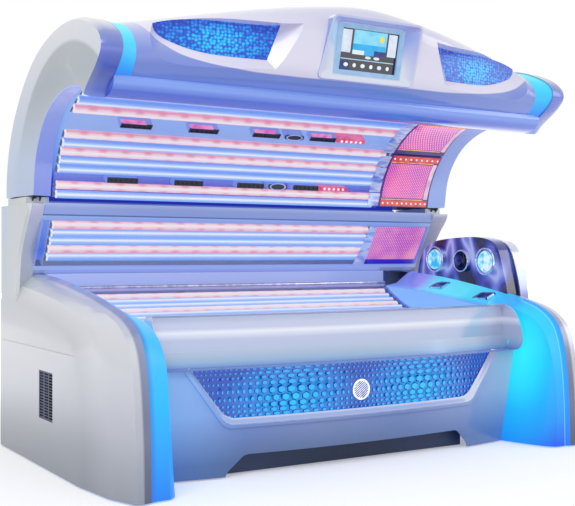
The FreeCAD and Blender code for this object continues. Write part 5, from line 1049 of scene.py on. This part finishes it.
side_pink = new_finish("unit_side_strips", "#F2C6DC", 0.2, metallic=0.2)
tint(side_pink, shades(side_pink, mottle(side_pink, 18.0), [(0.3, "#D9A0D0"), (0.7, "#FBE6EE")]), light=0.45)
sides = bmesh.new()
for angles in ((14.0, 37.0), (47.0, 70.0)):
    arc_strip(sides, (GLASS_X[1] + 0.004, GLASS_X[1] + 0.030), (0.5130, 0.5158), angles)
piece("unit_side_strips", sides, side_pink, "canopy")

bar_red = new_finish("bead_bars", "#E2343E", 0.25, coat=0.4)
tint(bar_red, shades(bar_red, mottle(bar_red, 30.0), [(0.3, "#C81E3C"), (0.7, "#F4604A")]), light=0.7)
bars, bar_beads = bmesh.new(), bmesh.new()
for angles, count in (((70.5, 75.0), 8), ((38.0, 42.0), 9), ((9.6, 13.0), 10)):
    arc_strip(bars, (GLASS_X[0] - 0.002, GLASS_X[1] + 0.030), (0.5130, 0.5158), angles, steps=3)
    for k in range(count):
        x = GLASS_X[0] + 0.012 + (GLASS_X[1] + 0.006 - GLASS_X[0]) * k / (count - 1)
        dot(bar_beads, field_spot(x, sum(angles) / 2, 0.5124), 0.0052)
piece("bead_bars", bars, bar_red, "canopy")
piece("bar_beads", bar_beads, bead_white, "canopy")

line_gold = new_finish("unit_gold_lines", "#F7B25A", 0.25)
tint(line_gold, shades(line_gold, mottle(line_gold, 40.0), [(0.3, "#F58A4A"), (0.7, "#FCE08A")]), light=0.7)
lines = bmesh.new()
for angles in ((13.3, 13.9), (37.2, 37.7), (46.6, 47.1), (69.8, 70.3)):
    arc_strip(lines, GLASS_X, (0.5134, 0.5156), angles, steps=2)
piece("unit_gold_lines", lines, line_gold, "canopy")

shoulder_glass = new_finish("shoulder_glass", "#C44BC4", 0.12, coat=0.6)
shoulder_lines = hatching(shoulder_glass, "#C44BC4", "#EC7FBE", "#F9C6E2")
shoulder_low = spread(shoulder_glass, place_of(shoulder_glass, "Z"), 0.868, 0.876)
tint(shoulder_glass, mixed(shoulder_glass, shoulder_low, "#2414C0", shoulder_lines), light=0.7)
dress_all(["shoulder_tanner"], shoulder_glass)

SCREEN_LINE = ((0.378, 1.048), (0.412, 0.985), (0.452, 0.915), (0.500, 0.845))


def shoulder_section(point, share):
    """The wedge beside the shoulder unit: it widens downwards and stands off the screen."""
    width = 0.040 + 0.030 * (1.048 - point.y) / 0.203
    return Vector((0.737 - width * share, point.x - 0.006 - 0.004 * (1 - share), point.y))


shoulder_wedge = bmesh.new()
ribbon(shoulder_wedge, [Vector(spot) for spot in SCREEN_LINE], shoulder_section)
bmesh.ops.solidify(shoulder_wedge, geom=shoulder_wedge.faces[:], thickness=0.0015)
piece("shoulder_wedge", shoulder_wedge, wedge_silver, "base")

# %% [markdown]
# ## Lenses on the canopy
# The two lit lenses have a pebbled inside. Voronoi cells give the pebbles: pale middles and a
# darker net between them, squeezed so that they stay round on the sloping face.

# %% Lenses
lens_blue = new_finish("lens_blue", "#18A0F0", 0.3, coat=0.12)
pebble = node(lens_blue, "TexVoronoi")
pebble.inputs["Scale"].default_value = 66.0
pebble.inputs["Randomness"].default_value = 0.55
squeeze = node(lens_blue, "Mapping")
squeeze.inputs["Scale"].default_value = (1.0, 0.30, 1.15)
wire(lens_blue, node(lens_blue, "TexCoord").outputs["Object"], squeeze.inputs["Vector"])
wire(lens_blue, squeeze.outputs["Vector"], pebble.inputs["Vector"])
bright = shades(lens_blue, pebble.outputs["Distance"],
    [(0.1, "#2CDCFF"), (0.4, "#10B0F8"), (0.62, "#0A58D8")])
deep = shades(lens_blue, pebble.outputs["Distance"], [(0.1, "#1A86EE"), (0.4, "#0F5CDC"), (0.62, "#0A36B0")])
lens_far = nearness(lens_blue, (0.66, -0.49, 1.745), (0.30, 0, 0.085), mirrored=True)
tint(lens_blue, mixed(lens_blue, spread(lens_blue, lens_far, 0.35, 0.95), bright, deep), light=0.88)
bump = node(lens_blue, "Bump")
bump.inputs["Distance"].default_value = 0.002
bump.invert = True
wire(lens_blue, pebble.outputs["Distance"], bump.inputs["Height"])
wire(lens_blue, bump.outputs["Normal"], shader_of(lens_blue).inputs["Normal"])
dress_all(["canopy_lenses"], lens_blue)

# %% [markdown]
# ## Display
# The display shows a generic seaside picture, a bar of plain symbols and two pale panels, all
# thin plates laid in front of its glass. The hood around it is lit from inside, and its walls are
# painted lighter and darker as light and shade fall on them by the way they face.

# %% Display
hood_trim = new_finish("display_hood", "#D2D6E4", 0.22, coat=0.5)
hood_painted_light = shades(hood_trim, along(hood_trim, "Z", 1.62, 1.88), [(0.0, "#DDE2F0"), (1.0, "#CDD2E2")])
# Painted light and shade: each wall of the hood coloured by the way it faces.
for direction, colour in (((1, 0, 0), "#B4DDFA"), ((-1, 0, 0), "#8FA4E6"), ((0, 0, -1), "#A3A8E6"), ((0, 0, 1), "#F4F4FC")):
    share = spread(hood_trim, facing(hood_trim, direction), 0.25, 0.60)
    hood_painted_light = mixed(hood_trim, share, hood_painted_light, colour)
tint(hood_trim, hood_painted_light, light=0.3)
grain(hood_trim, 500.0, 0.00003)
dress_all(["display_bezel"], hood_trim)

screen_dark = new_finish("display_glass", "#0A0F1E", 0.06, coat=0.8)
tint(screen_dark, shades(screen_dark, mottle(screen_dark, 10.0), [(0.3, "#070B18"), (0.7, "#141C34")]))
dress_all(["display_screen"], screen_dark)

SCREEN_HALF = (0.150, 0.088)
SCREEN_PLANE = Matrix.Translation((0, -0.577, 1.756)) @ Matrix.Rotation(math.radians(12.8), 4, "X")


def lit_paint(name, first, second, light=0.85, scale=25.0):
    paint = new_finish(name, first, 0.3)
    tint(paint, shades(paint, mottle(paint, scale), [(0.35, first), (0.65, second)]), light=light)
    return paint


def plate(surface, s_span, t_span, depth):
    """A thin plate on the display; s and t run from minus one to one across it."""
    block(surface, (s_span[0] * SCREEN_HALF[0], depth, t_span[0] * SCREEN_HALF[1]),
          (s_span[1] * SCREEN_HALF[0], depth + 0.0005, t_span[1] * SCREEN_HALF[1]), SCREEN_PLANE)


def pill(surface, s, t, radius, wide, depth):
    """A rounded plate, as a button or a symbol on the display."""
    where = (SCREEN_PLANE @ Matrix.Translation((s * SCREEN_HALF[0], depth, t * SCREEN_HALF[1]))
             @ Matrix.Diagonal((wide, 1, 1, 1)) @ Matrix.Rotation(math.pi / 2, 4, "X"))
    bmesh.ops.create_cone(surface, cap_ends=True, segments=20, radius1=radius, radius2=radius, depth=0.0005,
        matrix=where)


frame_steps = bmesh.new()
for x0, x1, z0, z1 in ((-0.173, -0.148, -0.105, 0.105), (0.148, 0.173, -0.105, 0.105),
                       (-0.148, 0.148, -0.105, -0.086), (-0.148, 0.148, 0.086, 0.105)):
    block(frame_steps, (x0, -0.004, z0), (x1, 0.001, z1), SCREEN_PLANE)
piece("display_frame", frame_steps, lit_paint("display_frame", "#8DBBE2", "#A4C8EC", light=0.4), "canopy")

for name, first, second, plates_at in (
    ("display_sky", "#8FE0F7", "#6FCDF2", [((-0.55, 0.60), (0.30, 0.95), 0.0084)]),
    ("display_sea", "#12A5E8", "#2BB8F0", [((-0.55, 0.60), (-0.20, 0.30), 0.0084)]),
    ("display_corner", "#16205E", "#243A8C", [((0.20, 0.60), (-0.20, 0.05), 0.0078),
    ((-0.98, -0.62), (-0.98, -0.55), 0.0084)]),
    ("display_land", "#F2F6F4", "#DCE8E4", [((-0.55, -0.15), (-0.20, 0.0), 0.0078)]),
    ("display_panels", "#E6EEF8", "#D0DCF0", [((-0.96, -0.62), (-0.15, 0.92), 0.0084),
    ((0.66, 0.96), (-0.15, 0.92), 0.0084)]),
    ("display_line", "#9FD4F4", "#CDE8FA", [((-0.92, 0.92), (-0.47, -0.43), 0.0084)]),
):
    made = bmesh.new()
    for s_span, t_span, depth in plates_at:
        plate(made, s_span, t_span, depth)
    piece(name, made, lit_paint(name, first, second), "canopy")
symbols, sun = bmesh.new(), bmesh.new()
for k in range(6):
    pill(symbols, -0.72 + 0.29 * k, -0.72, 0.0085, 1.0 if k % 2 else 1.3, 0.0082)
pill(symbols, 0.0, -0.30, 0.006, 2.6, 0.0074)
pill(symbols, 0.30, -0.30, 0.006, 2.6, 0.0074)
pill(sun, 0.42, 0.62, 0.012, 1.0, 0.0074)
piece("display_symbols", symbols, lit_paint("display_symbols", "#F4FAFF", "#CFE6F8"), "canopy")
piece("display_sun", sun, lit_paint("display_sun", "#FFE14A", "#FFD21E"), "canopy")

# %% [markdown]
# ## Console
# The end wall behind the head carries two air nozzles and a fan. Their chrome rings stand
# proud of a dark face painted with chrome reflections and a faint glow, and the nozzles glow cyan
# like small lamps.

# %% Console
console_dark = new_finish("console_face", "#5A60B8", 0.15, coat=0.6)
# Painted reflections: stretched bands of dark and pale across the chrome face, with a faint glow.
chrome_reflection_bands = mottle(console_dark, 7.0, 0.0, (1.0, 1.5, 0.8))
tint(console_dark, shades(console_dark, chrome_reflection_bands, [
    (0.30, "#141A3C"), (0.42, "#3A44A4"), (0.52, "#7C88DE"), (0.60, "#C5CEF4"), (0.66, "#8F96E2"),
    (0.76, "#353C8C")]), light=0.25)
grain(console_dark, 400.0, 0.00004)
dress_all(["console_face"], console_dark)

nozzle_light = new_finish("nozzle_glow", "#8FE9FF", 0.15, coat=0.6)
tint(nozzle_light, shades(nozzle_light, mottle(nozzle_light, 30.0, 2.0), [
    (0.35, "#2BC4F6"), (0.5, "#A9F0FF"), (0.6, "#F4FEFF"), (0.7, "#49CFF8")]), light=0.7)
dress_all(["left_air_nozzle", "right_air_nozzle"], nozzle_light)
NOZZLES = {"right_nozzle": (0.223, 0.872), "left_nozzle": (-0.174, 0.862)}
for body, (y, z) in NOZZLES.items():
    dome = bmesh.new()
    bmesh.ops.create_uvsphere(dome, u_segments=24, v_segments=14, radius=0.047,
                              matrix=Matrix.Translation((1.026, y, z)) @ Matrix.Diagonal((0.2, 1, 1, 1)))
    piece(body + "_dome", dome, nozzle_light, body)

fan_dark = new_finish("fan_dark", "#12162C", 0.3, coat=0.4)
tint(fan_dark, shades(fan_dark, mottle(fan_dark, 30.0), [(0.35, "#0D1124"), (0.65, "#2A3260")]))
dress_all(["console_fan_rotor", "left_blower_rotor", "right_blower_rotor"], fan_dark)

rings = bmesh.new()
for y, z in NOZZLES.values():
    ring(rings, (1.018, y, z), 0.066, 0.0050)
ring(rings, (1.031, 0.026, 0.864), 0.0545, 0.0040)
piece("console_rings", rings, bright_trim, "base")

# %% [markdown]
# ## Seals between canopy and base
# Behind the lamps the canopy and the base each end in a soft strip. A plain block covers the
# gap over each hinge. The blocks leave no room for the lift rods, so the rods run through them
# when the canopy shuts.

# %% Seal strips and hinge covers
seal = new_finish("seal_strip", "#5468C8", 0.6)
# Painted light: the strips glow faintly; paler below, deep blue above.
tint(seal, shades(seal, along(seal, "Z", 1.12, 1.18),
    [(0.0, "#93A8E0"), (0.45, "#7C92DA"), (0.55, "#2E3FC6"), (1.0, "#2A38C0")]), light=0.4)
low_seal, high_seal, end_covers = bmesh.new(), bmesh.new(), bmesh.new()
block(low_seal, (-1.055, 0.630, 1.127), (1.055, 0.640, 1.150))
block(high_seal, (-1.055, 0.644, 1.132), (1.055, 0.650, 1.180))
piece("base_seal", low_seal, seal, "base")
piece("canopy_seal", high_seal, seal, "canopy")
for side in (-1, 1):
    cover = block(end_covers, (1.078, 0.375, 1.121), (1.182, 0.645, 1.153))
    bmesh.ops.scale(end_covers, vec=(side, 1, 1), verts=cover)
piece("hinge_covers", end_covers, pearl, "base")

# %% Finish
bpy.context.view_layer.update()
